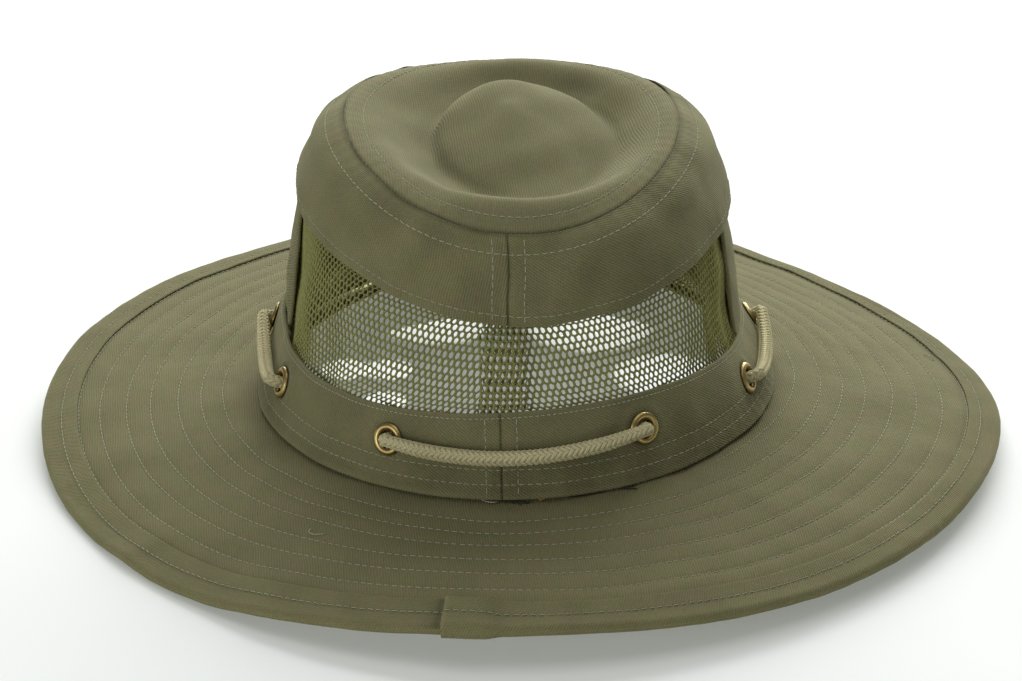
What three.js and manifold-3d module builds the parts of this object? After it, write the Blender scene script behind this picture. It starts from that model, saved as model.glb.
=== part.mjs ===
// Bush hat with a wide stitched brim, a netted crown band and a cord laced through eyelets.
// Millimetres, +Z up. The floor is z = 0, +Y is the front of the hat and +X its wearer's right.
import * as THREE from 'three';
import { mergeVertices } from 'three/addons/utils/BufferGeometryUtils.js';
import Module from 'manifold-3d';

const wasm = await Module();
wasm.setup();

// Driving dimensions
const FACETS = 60;
const CLOTH_WALL = 1.5;
const NET_WALL = 1.0;
const TAB_WALL = 1.3;
const LAP_GAP = 0.3;
const SEAM_GAP = 0.35;

const BRIM_WALL = 2.0;
const BRIM_WAVE_POWER = 1.5;
// Fractions of the brim's width at its rings; the third is in line with the binding's inner edge.
const BRIM_STOPS = [0, 0.45, 0.857, 1];

// The binding's legs stand off the brim; its nose is rounded over a shoulder, and a last
// face a foot wide lies flat below. Its end laps over its start at the back.
const BINDING_WALL = 1.0;
const BINDING_WIDTH = 12.5;
const BINDING_SHOULDER = 1.2;
const BINDING_FOOT = 3.6;
const BINDING_SLACK = 0.1;
const BINDING_START = 266;
const BINDING_END = 262.4;
const BINDING_LAP = { low: 269, high: 267, lift: BINDING_WALL + LAP_GAP };

// The net laps behind each band by this fraction of its own height.
const NET_LAP = 0.17;
const NET_COLUMNS = FACETS / 2;
// An even count, so that both long edges of the net end on the same knots.
const NET_HALF_ROWS = 4;
const NET_STRAND = 0.27;

// Each side tab, with the room that the net leaves behind the bands for it.
const TAB_HALF_ANGLE = 10;
const TAB_BULGE = 2.4;
const TAB_EDGE_LIFT = 0.3;
const TAB_SINK = 0.15;
const TAB_ROOM = TAB_WALL + 0.5;
const TAB_ROOM_FROM = TAB_HALF_ANGLE + 2;
const TAB_ROOM_TO = TAB_HALF_ANGLE + 14;

const EYELET_HOLE = 3.1;
const EYELET_BARREL = 3.6;
const EYELET_FLANGE = 5.6;
const EYELET_BACK = 5.2;
const EYELET_SEAT = CLOTH_WALL / 2 + 0.6;
const EYELET_THICK = 0.8;
const EYELET_BEVEL = 0.8;
const EYELET_SIDES = 10;
const CLOTH_HOLE = EYELET_BARREL + 0.4;
const DRILL_LENGTH = 12;
// Each eyelet's place round the lower band, and its height up the band.
const EYELETS = [
  { degrees: -21, level: 0.54 },
  { degrees: 11, level: 0.62 },
  { degrees: 58.5, level: 0.62 },
  { degrees: 118, level: 0.62 },
  { degrees: 175, level: 0.62 },
  { degrees: 204, level: 0.58 },
  { degrees: 242.8, level: 0.6 },
  { degrees: 301.5, level: 0.6 },
];

const CORD_RADIUS = 2.5;
const CORD_SQUEEZED_RADIUS = 2.1;
const CORD_SIDES = 8;
const CORD_BEND = 3.2;
const CORD_OFFSET = 4.8;
const CORD_SLACK = 0.4;
const CORD_SAG = 2.8;
const CORD_STEP = 11;

// Oval sections. Each row gives the oval's half axes and centre, its height above the
// floor on the right, at the front, on the left and at the back, and its twist: how much
// higher it runs between right and front, and between left and back, than a plain oval.
const COLUMNS = ['at', 'halfWidth', 'halfLength', 'x', 'y', 'right', 'front', 'left', 'back', 'twist'];
const table = (rows) => rows.map((row) => Object.fromEntries(row.map((v, i) => [COLUMNS[i], v])));

const LOWER_BAND = table([
  [0.00, 92.0, 107.2, -1.6, 0.25, 23.0, 22.1, 18.7, 22.1, 0.0],
  [0.18, 89.8, 105.5, -1.8, 0.25, 26.5, 27.2, 23.7, 27.1, -0.7],
  [0.62, 86.0, 102.7, -2.3, 0.25, 35.2, 39.8, 36.2, 39.3, -2.3],
  [1.00, 81.4, 99.3, -2.8, 0.25, 42.7, 50.7, 47.0, 49.9, -3.8],
]);

const UPPER_BAND = table([
  [0.00, 75.5, 85.8, -2.9, 0.65, 85.4, 74.7, 93.0, 74.7, 0.0],
  [0.30, 74.1, 86.9, -3.1, 0.55, 94.6, 85.1, 101.1, 83.9, 0.3],
  [0.56, 70.9, 86.3, -2.7, 0.45, 102.5, 94.0, 108.1, 91.8, 0.6],
  [0.83, 66.7, 84.2, -2.9, 0.35, 110.7, 103.3, 115.4, 100.1, 0.8],
  [1.00, 57.7, 80.8, -3.3, 0.25, 115.9, 109.2, 120.0, 105.3, 1.0],
]);

// The tip is dished: a raised rim, a groove all round and a dome that is highest towards the front.
const TIP = table([
  [1.00, 57.7, 80.8, -3.3, 0.25, 115.9, 109.2, 120.0, 105.3, 1.0],
  [0.92, 53.1, 74.4, -3.1, 0.35, 115.8, 112.4, 119.1, 109.1, 1.0],
  [0.84, 48.5, 68.0, -2.6, 0.45, 114.3, 114.1, 116.9, 111.7, 0.8],
  [0.64, 37.6, 52.6, -0.8, 1.15, 108.3, 109.0, 109.6, 103.9, 0.2],
  [0.54, 32.2, 44.6, 0.4, 1.65, 105.8, 107.0, 106.4, 102.2, 0.0],
  [0.44, 27.0, 38.0, -0.4, 3.0, 108.6, 112.6, 110.8, 103.8, 0.0],
  [0.26, 15.6, 23.0, -4.0, 8.0, 113.2, 118.8, 115.4, 110.8, 0.0],
  [0.00, 0.0, 0.0, -5.0, 12.0, 118.6, 118.6, 118.6, 118.6, 0.0],
]);

const BRIM_INNER = table([[0, 88.5, 103.7, -1.6, 0.25, 21.0, 20.1, 16.7, 20.1, 0.0]])[0];
const BRIM_EDGE = table([[1, 170.4, 182.1, 0.0, 0.6, 7.5, 7.5, 7.5, 7.5, 0.0]])[0];
const BRIM_EDGE_POWER = 1.91;
// The edge's waves: so many to the turn, with the heights of their cosine and sine parts.
const BRIM_WAVES = [
  { turns: 1, cosine: -0.74, sine: -0.42 },
  { turns: 2, cosine: -1.91, sine: -3.65 },
  { turns: 3, cosine: -0.25, sine: 1.12 },
  { turns: 4, cosine: 2.28, sine: -1.29 },
];

// How far each tab stands out, from its tucked lower end to its tucked upper end,
// at the same fractions as the net behind it.
const TAB_PROFILE = [
  { at: 0.04, stand: 0.0 },
  { at: 0.16, stand: 0.0 },
  { at: 0.26, stand: 0.75 },
  { at: 0.42, stand: 1.0 },
  { at: 0.62, stand: 0.6 },
  { at: 0.81, stand: 0.0 },
  { at: 0.95, stand: 0.0 },
];

// Plain functions on ovals
const radians = (degrees) => (degrees * Math.PI) / 180;
const mix = (a, b, k) => a + (b - a) * k;
const signedPower = (value, power) => Math.sign(value) * Math.abs(value) ** power;

// A point of an oval section; a power of 2 is a true ellipse.
function ovalPoint(row, degrees, power = 2) {
  const c = Math.cos(radians(degrees));
  const s = Math.sin(radians(degrees));
  const mean = (row.right + row.front + row.left + row.back) / 4;
  const saddle = (row.right + row.left - row.front - row.back) / 4;
  const height = mean
    + (c * (row.right - row.left)) / 2
    + (s * (row.front - row.back)) / 2
    + saddle * (c * c - s * s)
    + row.twist * 2 * s * c;
  return new THREE.Vector3(
    row.x + row.halfWidth * signedPower(c, 2 / power),
    row.y + row.halfLength * signedPower(s, 2 / power),
    height,
  );
}

// The row of a table at a fraction between its sections.
function rowAt(rows, at) {
  const rising = rows[rows.length - 1].at > rows[0].at;
  const ordered = rising ? rows : [...rows].reverse();
  let i = 0;
  while (i < ordered.length - 2 && at > ordered[i + 1].at) {
    i += 1;
  }
  const low = ordered[i];
  const high = ordered[i + 1];
  const k = (at - low.at) / (high.at - low.at);
  return Object.fromEntries(COLUMNS.map((name) => [name, mix(low[name], high[name], k)]));
}

const skinOf = (rows) => (degrees, at) => ovalPoint(rowAt(rows, at), degrees);

// The outward direction of a skin, from small steps along and across it.
function outward(skin, degrees, at) {
  const step = 0.01;
  const along = skin(degrees + 1, at).sub(skin(degrees - 1, at));
  const across = skin(degrees, Math.min(1, at + step)).sub(skin(degrees, Math.max(0, at - step)));
  return along.cross(across).normalize();
}

// Closed bodies from grids of points
class BodyBuilder {
  constructor() {
    this.points = [];
    this.faces = [];
  }

  row(points) {
    const first = this.points.length;
    this.points.push(...points);
    return points.map((_, i) => first + i);
  }

  // Quads between two rows of equal length; a closed row joins its last point to its first.
  strip(lower, upper, closed) {
    const last = closed ? lower.length : lower.length - 1;
    for (let i = 0; i < last; i += 1) {
      const j = (i + 1) % lower.length;
      this.quad(lower[i], lower[j], upper[j], upper[i]);
    }
  }

  quad(a, b, c, d) {
    this.faces.push([a, b, c], [a, c, d]);
  }

  fan(ring, centre) {
    ring.forEach((a, i) => this.faces.push([a, ring[(i + 1) % ring.length], centre]));
  }

  geometry() {
    const shape = new THREE.BufferGeometry();
    const numbers = this.points.flatMap((p) => p.toArray());
    shape.setAttribute('position', new THREE.Float32BufferAttribute(numbers, 3));
    shape.setIndex(this.faces.flat());
    shape.computeVertexNormals();
    return shape;
  }
}

const facetAngles = Array.from({ length: FACETS }, (_, i) => (360 * i) / FACETS);

// A wall all round the hat: its outer skin, and the same skin one wall thickness inwards.
function roundWall(skin, stops, wall) {
  const body = new BodyBuilder();
  const outer = stops.map((at) => body.row(facetAngles.map((t) => skin(t, at))));
  const inner = stops.map((at) => body.row(
    facetAngles.map((t) => skin(t, at).addScaledVector(outward(skin, t, at), -wall)),
  ));
  const last = stops.length - 1;
  for (let i = 0; i < last; i += 1) {
    body.strip(outer[i], outer[i + 1], true);
    body.strip(inner[i + 1], inner[i], true);
  }
  body.strip(outer[last], inner[last], true);
  body.strip(inner[0], outer[0], true);
  return body.geometry();
}

const lowerBandSkin = skinOf(LOWER_BAND);
const upperBandSkin = skinOf(UPPER_BAND);

// Solids for cutting
function toSolid(geometry) {
  const bare = geometry.clone();
  bare.deleteAttribute('normal');
  bare.deleteAttribute('uv');
  const merged = mergeVertices(bare, 1e-4);
  return new wasm.Manifold(new wasm.Mesh({
    numProp: 3,
    vertProperties: new Float32Array(merged.attributes.position.array),
    triVerts: new Uint32Array(merged.index.array),
  }));
}

function toGeometry(solid) {
  const cut = solid.getMesh();
  const shape = new THREE.BufferGeometry();
  shape.setAttribute('position', new THREE.BufferAttribute(new Float32Array(cut.vertProperties), 3));
  shape.setIndex(new THREE.BufferAttribute(new Uint32Array(cut.triVerts), 1));
  shape.computeVertexNormals();
  return shape;
}

// Where an eyelet sits: the middle of the wall, its outward direction, along and up.
function eyeletSeat({ degrees, level }) {
  const normal = outward(lowerBandSkin, degrees, level);
  const centre = lowerBandSkin(degrees, level).addScaledVector(normal, -CLOTH_WALL / 2);
  const along = lowerBandSkin(degrees + 1, level).sub(lowerBandSkin(degrees - 1, level)).normalize();
  const up = normal.clone().cross(along).normalize();
  return { centre, normal, along, up };
}

const LATHE_AXIS = new THREE.Vector3(0, 1, 0);

function lowerBand() {
  let solid = toSolid(roundWall(lowerBandSkin, LOWER_BAND.map((row) => row.at), CLOTH_WALL));
  for (const place of EYELETS) {
    const seat = eyeletSeat(place);
    const drill = new THREE.CylinderGeometry(CLOTH_HOLE, CLOTH_HOLE, DRILL_LENGTH, EYELET_SIDES);
    drill.applyQuaternion(new THREE.Quaternion().setFromUnitVectors(LATHE_AXIS, seat.normal));
    drill.translate(seat.centre.x, seat.centre.y, seat.centre.z);
    solid = solid.subtract(toSolid(drill));
  }
  return toGeometry(solid);
}

function upperBand() {
  return roundWall(upperBandSkin, UPPER_BAND.map((row) => row.at), CLOTH_WALL);
}

// The tip's cloth starts a seam gap past the upper band's top edge, cut to the same mitre.
function crownTip() {
  const body = new BodyBuilder();
  const skin = skinOf(TIP);
  const belowSeam = 0.97;
  const pastSeam = (t) => {
    const along = upperBandSkin(t, 1).sub(upperBandSkin(t, belowSeam)).normalize();
    return upperBandSkin(t, 1).addScaledVector(along, SEAM_GAP);
  };
  const underSeam = (t) => pastSeam(t).addScaledVector(outward(upperBandSkin, t, 1), -CLOTH_WALL);
  const stops = TIP.slice(1, -1).map((row) => row.at);
  const outer = [body.row(facetAngles.map(pastSeam))];
  const inner = [body.row(facetAngles.map(underSeam))];
  for (const at of stops) {
    outer.push(body.row(facetAngles.map((t) => skin(t, at))));
    inner.push(body.row(facetAngles.map(
      (t) => skin(t, at).addScaledVector(outward(skin, t, at), CLOTH_WALL),
    )));
  }
  const last = outer.length - 1;
  for (let i = 0; i < last; i += 1) {
    body.strip(outer[i], outer[i + 1], true);
    body.strip(inner[i + 1], inner[i], true);
  }
  const crown = ovalPoint(TIP[TIP.length - 1], 0);
  const [top] = body.row([crown]);
  const [under] = body.row([crown.clone().setZ(crown.z - CLOTH_WALL)]);
  body.fan(outer[last], top);
  body.fan([...inner[last]].reverse(), under);
  body.strip(inner[0], outer[0], true);
  return body.geometry();
}

// The net hangs between the two bands and laps behind both.
const netInset = (rows, at, inset) => {
  const row = rowAt(rows, at);
  return { ...row, halfWidth: row.halfWidth - inset, halfLength: row.halfLength - inset };
};
// The lower band leans in, so the net stands a second gap clear of it.
const BEHIND_LOWER_BAND = CLOTH_WALL + 2 * LAP_GAP;
const BEHIND_UPPER_BAND = CLOTH_WALL + LAP_GAP;
const NET_ROWS = [
  { ...netInset(LOWER_BAND, 0.85, BEHIND_LOWER_BAND), at: 0 },
  { ...netInset(LOWER_BAND, 1.00, BEHIND_LOWER_BAND), at: NET_LAP },
  { ...netInset(UPPER_BAND, 0.00, BEHIND_UPPER_BAND), at: 1 - NET_LAP },
  { ...netInset(UPPER_BAND, 0.16, BEHIND_UPPER_BAND), at: 1 },
];

// Room behind the bands for the side tabs: whole over a tab, none a little further on.
function tabRoom(degrees) {
  const fromSide = Math.abs(((degrees + 90) % 180 + 180) % 180 - 90);
  const fade = THREE.MathUtils.smoothstep(fromSide, TAB_ROOM_FROM, TAB_ROOM_TO);
  return TAB_ROOM * (1 - fade);
}

const plainNetSkin = skinOf(NET_ROWS);
function netSkin(degrees, at) {
  return plainNetSkin(degrees, at).addScaledVector(outward(plainNetSkin, degrees, at), -tabRoom(degrees));
}

// Rows of diamond openings, staggered, with whole strips behind the bands and at the back seam.
function meshBand() {
  const body = new BodyBuilder();
  const netAt = (j) => mix(NET_LAP, 1 - NET_LAP, j / NET_HALF_ROWS);
  const degreesAt = (i) => (360 * i) / FACETS;
  const pair = (degrees, at) => {
    const point = netSkin(degrees, at);
    const back = point.clone().addScaledVector(outward(netSkin, degrees, at), -NET_WALL);
    const [outer] = body.row([point]);
    const [inner] = body.row([back]);
    return { outer, inner };
  };
  const wallRow = (at) => facetAngles.map((t) => pair(t, at));
  const knots = Array.from({ length: NET_HALF_ROWS + 1 }, (_, j) => wallRow(netAt(j)));
  const hidden = { low: wallRow(0), high: wallRow(1) };
  const wrap = (i) => (i + FACETS) % FACETS;

  const patch = (a, b, c) => {
    body.faces.push([a.outer, b.outer, c.outer], [a.inner, c.inner, b.inner]);
  };
  const sheet = (low, high) => {
    for (let i = 0; i < FACETS; i += 1) {
      const j = wrap(i + 1);
      patch(low[i], low[j], high[j]);
      patch(low[i], high[j], high[i]);
    }
  };
  sheet(hidden.low, knots[0]);
  sheet(knots[NET_HALF_ROWS], hidden.high);
  for (let i = 0; i < FACETS; i += 1) {
    const j = wrap(i + 1);
    body.quad(hidden.low[i].inner, hidden.low[j].inner, hidden.low[j].outer, hidden.low[i].outer);
    body.quad(hidden.high[i].outer, hidden.high[j].outer, hidden.high[j].inner, hidden.high[i].inner);
  }

  // Half diamonds fill the two long edges of the net.
  const top = NET_HALF_ROWS;
  for (let i = 0; i < FACETS; i += 2) {
    const middle = wrap(i + 1);
    const end = wrap(i + 2);
    patch(knots[0][i], knots[0][middle], knots[1][middle]);
    patch(knots[0][middle], knots[0][end], knots[1][middle]);
    patch(knots[top][middle], knots[top][i], knots[top - 1][middle]);
    patch(knots[top][end], knots[top][middle], knots[top - 1][middle]);
  }

  const backSeam = (3 * FACETS) / 4;
  const diamond = (i, j) => {
    const corners = [
      { i, j: j - 1 },
      { i: i + 1, j },
      { i, j: j + 1 },
      { i: i - 1, j },
    ];
    const frame = corners.map((c) => knots[c.j][wrap(c.i)]);
    if (Math.abs(i - backSeam) < 1) {
      patch(frame[0], frame[1], frame[2]);
      patch(frame[0], frame[2], frame[3]);
      return;
    }
    const holes = corners.map((c) => pair(
      degreesAt(mix(i, c.i, 1 - NET_STRAND)),
      mix(netAt(j), netAt(c.j), 1 - NET_STRAND),
    ));
    for (let k = 0; k < 4; k += 1) {
      const n = (k + 1) % 4;
      patch(frame[k], frame[n], holes[n]);
      patch(frame[k], holes[n], holes[k]);
      body.quad(holes[k].outer, holes[n].outer, holes[n].inner, holes[k].inner);
    }
  };
  for (let j = 1; j < NET_HALF_ROWS; j += 1) {
    for (let c = 0; c < NET_COLUMNS; c += 1) {
      diamond(2 * c + (j % 2 === 1 ? 0 : 1), j);
    }
  }
  return body.geometry();
}

// The brim's middle surface; "out" runs from 0 at the head opening to 1 at the edge.
function brimMiddle(degrees, out) {
  const inner = ovalPoint(BRIM_INNER, degrees);
  const edge = ovalPoint(BRIM_EDGE, degrees, BRIM_EDGE_POWER);
  const point = inner.lerp(edge, out);
  const t = radians(degrees);
  for (const wave of BRIM_WAVES) {
    const height = wave.cosine * Math.cos(wave.turns * t) + wave.sine * Math.sin(wave.turns * t);
    point.z += height * Math.max(0, out) ** BRIM_WAVE_POWER;
  }
  // The cloth lies flat where it meets the floor.
  point.z = Math.max(point.z, BRIM_WALL / 2 + LAP_GAP + BINDING_WALL);
  return point;
}

const brimWidthAt = (degrees) => brimMiddle(degrees, 1).sub(brimMiddle(degrees, 0)).setZ(0).length();
const outFromEdge = (degrees, distance) => 1 - distance / brimWidthAt(degrees);
const lifted = (point, height) => point.setZ(point.z + height);

function brim() {
  const body = new BodyBuilder();
  const edgeInset = BINDING_WALL + LAP_GAP + BINDING_SLACK;
  const ring = (k, height) => body.row(facetAngles.map((t) => {
    const out = k * outFromEdge(t, edgeInset);
    return lifted(brimMiddle(t, out), height);
  }));
  const top = BRIM_STOPS.map((k) => ring(k, BRIM_WALL / 2));
  const under = BRIM_STOPS.map((k) => ring(k, -BRIM_WALL / 2));
  const last = BRIM_STOPS.length - 1;
  for (let i = 0; i < last; i += 1) {
    body.strip(top[i + 1], top[i], true);
    body.strip(under[i], under[i + 1], true);
  }
  body.strip(under[last], top[last], true);
  body.strip(top[0], under[0], true);
  return body.geometry();
}

// One folded strip round the edge, open at the back, where its end laps over its start.
function brimBinding() {
  const inside = BRIM_WALL / 2 + LAP_GAP;
  const outside = inside + BINDING_WALL;
  const fold = { inward: BINDING_WALL + BINDING_SLACK, height: inside };
  const section = [
    { inward: BINDING_WIDTH, height: outside },
    { inward: BINDING_SHOULDER, height: outside },
    { inward: 0, height: 0 },
    { inward: BINDING_SHOULDER, height: -outside },
    { inward: BINDING_FOOT, height: -outside },
    { inward: BINDING_WIDTH, height: -outside },
    { inward: BINDING_WIDTH, height: -inside },
    { inward: fold.inward, height: -fold.height },
    fold,
    { inward: BINDING_WIDTH, height: inside },
  ];
  const lapped = ({ inward, height }, lift) => ({
    inward: inward === BINDING_WIDTH ? inward : inward - lift,
    height: height + Math.sign(height) * lift,
  });
  const stations = [{ degrees: BINDING_START, lift: 0 }];
  const facet = 360 / FACETS;
  for (let t = Math.floor(BINDING_START / facet) * facet; t > BINDING_LAP.low - 360; t -= facet) {
    stations.push({ degrees: t, lift: 0 });
  }
  stations.push({ degrees: BINDING_LAP.low - 360, lift: 0 });
  stations.push({ degrees: BINDING_LAP.high - 360, lift: BINDING_LAP.lift });
  stations.push({ degrees: BINDING_END - 360, lift: BINDING_LAP.lift });

  const body = new BodyBuilder();
  const rings = stations.map(({ degrees, lift }) => body.row(section.map((corner) => {
    const place = lapped(corner, lift);
    return lifted(brimMiddle(degrees, outFromEdge(degrees, place.inward)), place.height);
  })));
  for (let i = 0; i + 1 < rings.length; i += 1) {
    body.strip(rings[i + 1], rings[i], true);
  }
  // The two cut ends: the upper leg, the fold and the lower leg of the section.
  const cap = (ring, flip) => {
    const faces = [[0, 1, 8], [0, 8, 9], [1, 2, 8], [2, 7, 8], [2, 3, 7], [3, 4, 7], [4, 5, 6], [4, 6, 7]];
    for (const [a, b, c] of faces) {
      body.faces.push(flip ? [ring[a], ring[c], ring[b]] : [ring[a], ring[b], ring[c]]);
    }
  };
  cap(rings[0], false);
  cap(rings[rings.length - 1], true);
  return body.geometry();
}

// A cloth tab at one side, tucked behind both bands and bowed out between them.
function sideTab(sideDegrees) {
  const columns = [-1, -0.5, 0, 0.5, 1];
  const standAt = (k, w) => k * mix(TAB_EDGE_LIFT, 1, 1 - w * w) * TAB_BULGE;
  const skin = (w, row) => {
    const degrees = sideDegrees + w * TAB_HALF_ANGLE;
    const normal = outward(plainNetSkin, degrees, 0.5);
    return plainNetSkin(degrees, row.at).addScaledVector(normal, standAt(row.stand, w) - TAB_SINK);
  };
  const body = new BodyBuilder();
  const normalAt = (w) => outward(plainNetSkin, sideDegrees + w * TAB_HALF_ANGLE, 0.5);
  const outer = TAB_PROFILE.map((row) => body.row(columns.map((w) => skin(w, row))));
  const inner = TAB_PROFILE.map((row) => body.row(
    columns.map((w) => skin(w, row).addScaledVector(normalAt(w), -TAB_WALL)),
  ));
  const last = TAB_PROFILE.length - 1;
  for (let i = 0; i < last; i += 1) {
    body.strip(outer[i], outer[i + 1], false);
    body.strip([...inner[i]].reverse(), [...inner[i + 1]].reverse(), false);
    body.quad(inner[i][0], outer[i][0], outer[i + 1][0], inner[i + 1][0]);
    const e = columns.length - 1;
    body.quad(outer[i][e], inner[i][e], inner[i + 1][e], outer[i + 1][e]);
  }
  body.strip(inner[0], outer[0], false);
  body.strip(outer[last], inner[last], false);
  return body.geometry();
}

function eyelet() {
  const face = EYELET_SEAT + EYELET_THICK;
  const profile = [
    [EYELET_HOLE, -face],
    [EYELET_BACK, -face],
    [EYELET_BACK, -EYELET_SEAT],
    [EYELET_BARREL, -EYELET_SEAT],
    [EYELET_BARREL, EYELET_SEAT],
    [EYELET_FLANGE, EYELET_SEAT],
    [EYELET_FLANGE - EYELET_BEVEL, face],
    [EYELET_HOLE, face],
    [EYELET_HOLE, -face],
  ].map(([radius, along]) => new THREE.Vector2(radius, along));
  return new THREE.LatheGeometry(profile, EYELET_SIDES);
}

// The cord's route, as places beside the wall of the lower band: in and out by turns.
function cordRoute() {
  const route = [];
  const add = (place, along, out, radius, drop = 0) => {
    const seat = eyeletSeat(place);
    const point = seat.centre.clone()
      .addScaledVector(seat.along, along)
      .addScaledVector(seat.normal, out)
      .addScaledVector(seat.up, -drop);
    route.push({ point, up: seat.up, radius });
  };
  const corner = CORD_BEND * (1 - Math.SQRT1_2);
  const straight = CORD_OFFSET - CORD_BEND;
  EYELETS.forEach((here, i) => {
    const side = i % 2 === 0 ? 1 : -1;
    add(here, -CORD_BEND, -side * CORD_OFFSET, CORD_SQUEEZED_RADIUS);
    add(here, -corner, -side * (CORD_OFFSET - corner), CORD_SQUEEZED_RADIUS);
    add(here, 0, -side * straight, CORD_SQUEEZED_RADIUS);
    add(here, 0, side * straight, CORD_SQUEEZED_RADIUS);
    add(here, corner, side * (CORD_OFFSET - corner), CORD_SQUEEZED_RADIUS);
    add(here, CORD_BEND, side * CORD_OFFSET, CORD_SQUEEZED_RADIUS);
    const last = i + 1 === EYELETS.length;
    const next = EYELETS[last ? 0 : i + 1];
    const nextDegrees = next.degrees + (last ? 360 : 0);
    const steps = Math.round((nextDegrees - here.degrees) / CORD_STEP);
    for (let k = 1; k < steps; k += 1) {
      const drop = CORD_SAG * Math.sin((Math.PI * k) / steps);
      const degrees = mix(here.degrees, nextDegrees, k / steps);
      const level = mix(here.level, next.level, k / steps);
      add({ degrees, level }, 0, side * (CORD_OFFSET + CORD_SLACK), CORD_RADIUS, drop);
    }
  });
  return route;
}

function bandCord() {
  const route = cordRoute();
  const count = route.length;
  const body = new BodyBuilder();
  const rings = route.map(({ point, up, radius }, i) => {
    const ahead = route[(i + 1) % count].point;
    const behind = route[(i + count - 1) % count].point;
    const along = ahead.clone().sub(behind).normalize();
    const across = along.clone().cross(up).normalize();
    const rise = across.clone().cross(along).normalize();
    return body.row(Array.from({ length: CORD_SIDES }, (_, k) => {
      const turn = (2 * Math.PI * (k + 0.5)) / CORD_SIDES;
      return point.clone()
        .addScaledVector(across, radius * Math.cos(turn))
        .addScaledVector(rise, radius * Math.sin(turn));
    }));
  });
  rings.forEach((ring, i) => body.strip(rings[(i + 1) % count], ring, true));
  return body.geometry();
}

// Materials
const cloth = (color, roughness) => new THREE.MeshStandardMaterial({ color, roughness, metalness: 0 });
const twill = () => cloth('#67644c', 0.92);
const netting = () => cloth('#5f5f38', 0.9);
const braid = () => cloth('#8f8a66', 0.95);
const brass = () => new THREE.MeshStandardMaterial({ color: '#a98c4f', roughness: 0.35, metalness: 1 });

function piece(name, geometry, material) {
  const mesh = new THREE.Mesh(geometry, material);
  mesh.name = name;
  return mesh;
}

// The hat
const crown = new THREE.Group();
crown.add(piece('crown_tip', crownTip(), twill()));
crown.add(piece('upper_band', upperBand(), twill()));
crown.add(piece('mesh_band', meshBand(), netting()));
crown.add(piece('lower_band', lowerBand(), twill()));
crown.add(piece('side_tab_right', sideTab(0), twill()));
crown.add(piece('side_tab_left', sideTab(180), twill()));

const brimGroup = new THREE.Group();
brimGroup.add(piece('brim', brim(), twill()));
brimGroup.add(piece('brim_binding', brimBinding(), twill()));

const lacing = new THREE.Group();
EYELETS.forEach((place, i) => {
  const seat = eyeletSeat(place);
  const ring = piece(`eyelet_${i + 1}`, eyelet(), brass());
  ring.position.copy(seat.centre);
  ring.quaternion.setFromUnitVectors(LATHE_AXIS, seat.normal);
  lacing.add(ring);
});
lacing.add(piece('band_cord', bandCord(), braid()));

const hat = new THREE.Group();
hat.add(crown, brimGroup, lacing);

export default hat;
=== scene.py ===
"""Looks of the bush hat: stitched twill, knitted net, brass eyelets and a braided cord.

Shapes are worked out in millimetres with numpy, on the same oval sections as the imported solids, and turned
to metres when a mesh is made. +Z is up, +Y the front of the hat and +X its wearer's right. Degrees run
counter-clockwise seen from above, from +X; the back of the hat is at -90 degrees.
"""

import logging
import math
from dataclasses import dataclass, field
from enum import Enum
from typing import Callable, Sequence

import bpy
import numpy as np
from mathutils import Matrix, Vector


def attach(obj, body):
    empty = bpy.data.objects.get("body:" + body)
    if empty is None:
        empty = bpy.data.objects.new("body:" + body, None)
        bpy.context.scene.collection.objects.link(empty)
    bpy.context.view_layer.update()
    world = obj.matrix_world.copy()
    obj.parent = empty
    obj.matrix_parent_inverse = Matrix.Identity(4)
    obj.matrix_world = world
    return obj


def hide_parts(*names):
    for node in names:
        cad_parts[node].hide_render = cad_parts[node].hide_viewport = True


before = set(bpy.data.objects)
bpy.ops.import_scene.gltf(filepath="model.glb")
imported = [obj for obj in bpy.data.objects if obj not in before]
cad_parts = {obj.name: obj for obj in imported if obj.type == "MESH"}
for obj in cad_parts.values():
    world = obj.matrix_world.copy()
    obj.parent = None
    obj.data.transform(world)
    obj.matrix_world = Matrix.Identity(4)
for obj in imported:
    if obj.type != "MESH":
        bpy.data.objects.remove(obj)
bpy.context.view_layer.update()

log = logging.getLogger("bush_hat")

Array = np.ndarray
MM = 0.001
WEAVE_MAP = "weave"
# The point attribute that lightens rubbed cloth, and darkens it with painted shade in seams, creases and
# under edges.
WEAR_AND_SHADE = "wear_and_shade"
BACK = -90.0


# Numbers and arrays

def unit(vectors: Array) -> Array:
    """Each vector divided by its own length."""
    return vectors / np.maximum(np.linalg.norm(vectors, axis=-1, keepdims=True), 1e-12)


def ease(value: Array, low: float, high: float) -> Array:
    """A smooth step: 0 below low, 1 above high, and 3k^2 - 2k^3 between them."""
    k = np.clip((value - low) / (high - low), 0.0, 1.0)
    return k * k * (3.0 - 2.0 * k)


def bell(distance: Array, width: float) -> Array:
    """A bell curve: e to the power of minus the square of distance over width."""
    return np.exp(-np.square(distance / width))


def mix(a: Array, b: Array, k: Array) -> Array:
    """The value a share k of the way from a to b."""
    return a + (b - a) * k


def turn_from(degrees: Array, centre: float) -> Array:
    """The shortest signed turn from a direction, in degrees."""
    return (degrees - centre + 180.0) % 360.0 - 180.0


def ripple(points: Array, wavelength: float, seed: int) -> Array:
    """Soft unevenness of about unit height: a sum of sixteen sines along random directions in space.

    Args:
        points: places in mm, of shape (..., 3).
        wavelength: the middle wavelength in mm; the waves run from 0.6 to 1.7 times it.
        seed: the seed of the random directions, lengths and phases.

    Returns:
        One height for each point.
    """
    waves = 16
    random = np.random.default_rng(seed)
    directions = unit(random.normal(size=(waves, 3)))
    turns = directions * (2.0 * math.pi / (wavelength * random.uniform(0.6, 1.7, (waves, 1))))
    phases = random.uniform(0.0, 2.0 * math.pi, waves)
    return np.sin(points @ turns.T + phases).sum(axis=-1) / math.sqrt(waves / 2.0)


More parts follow.
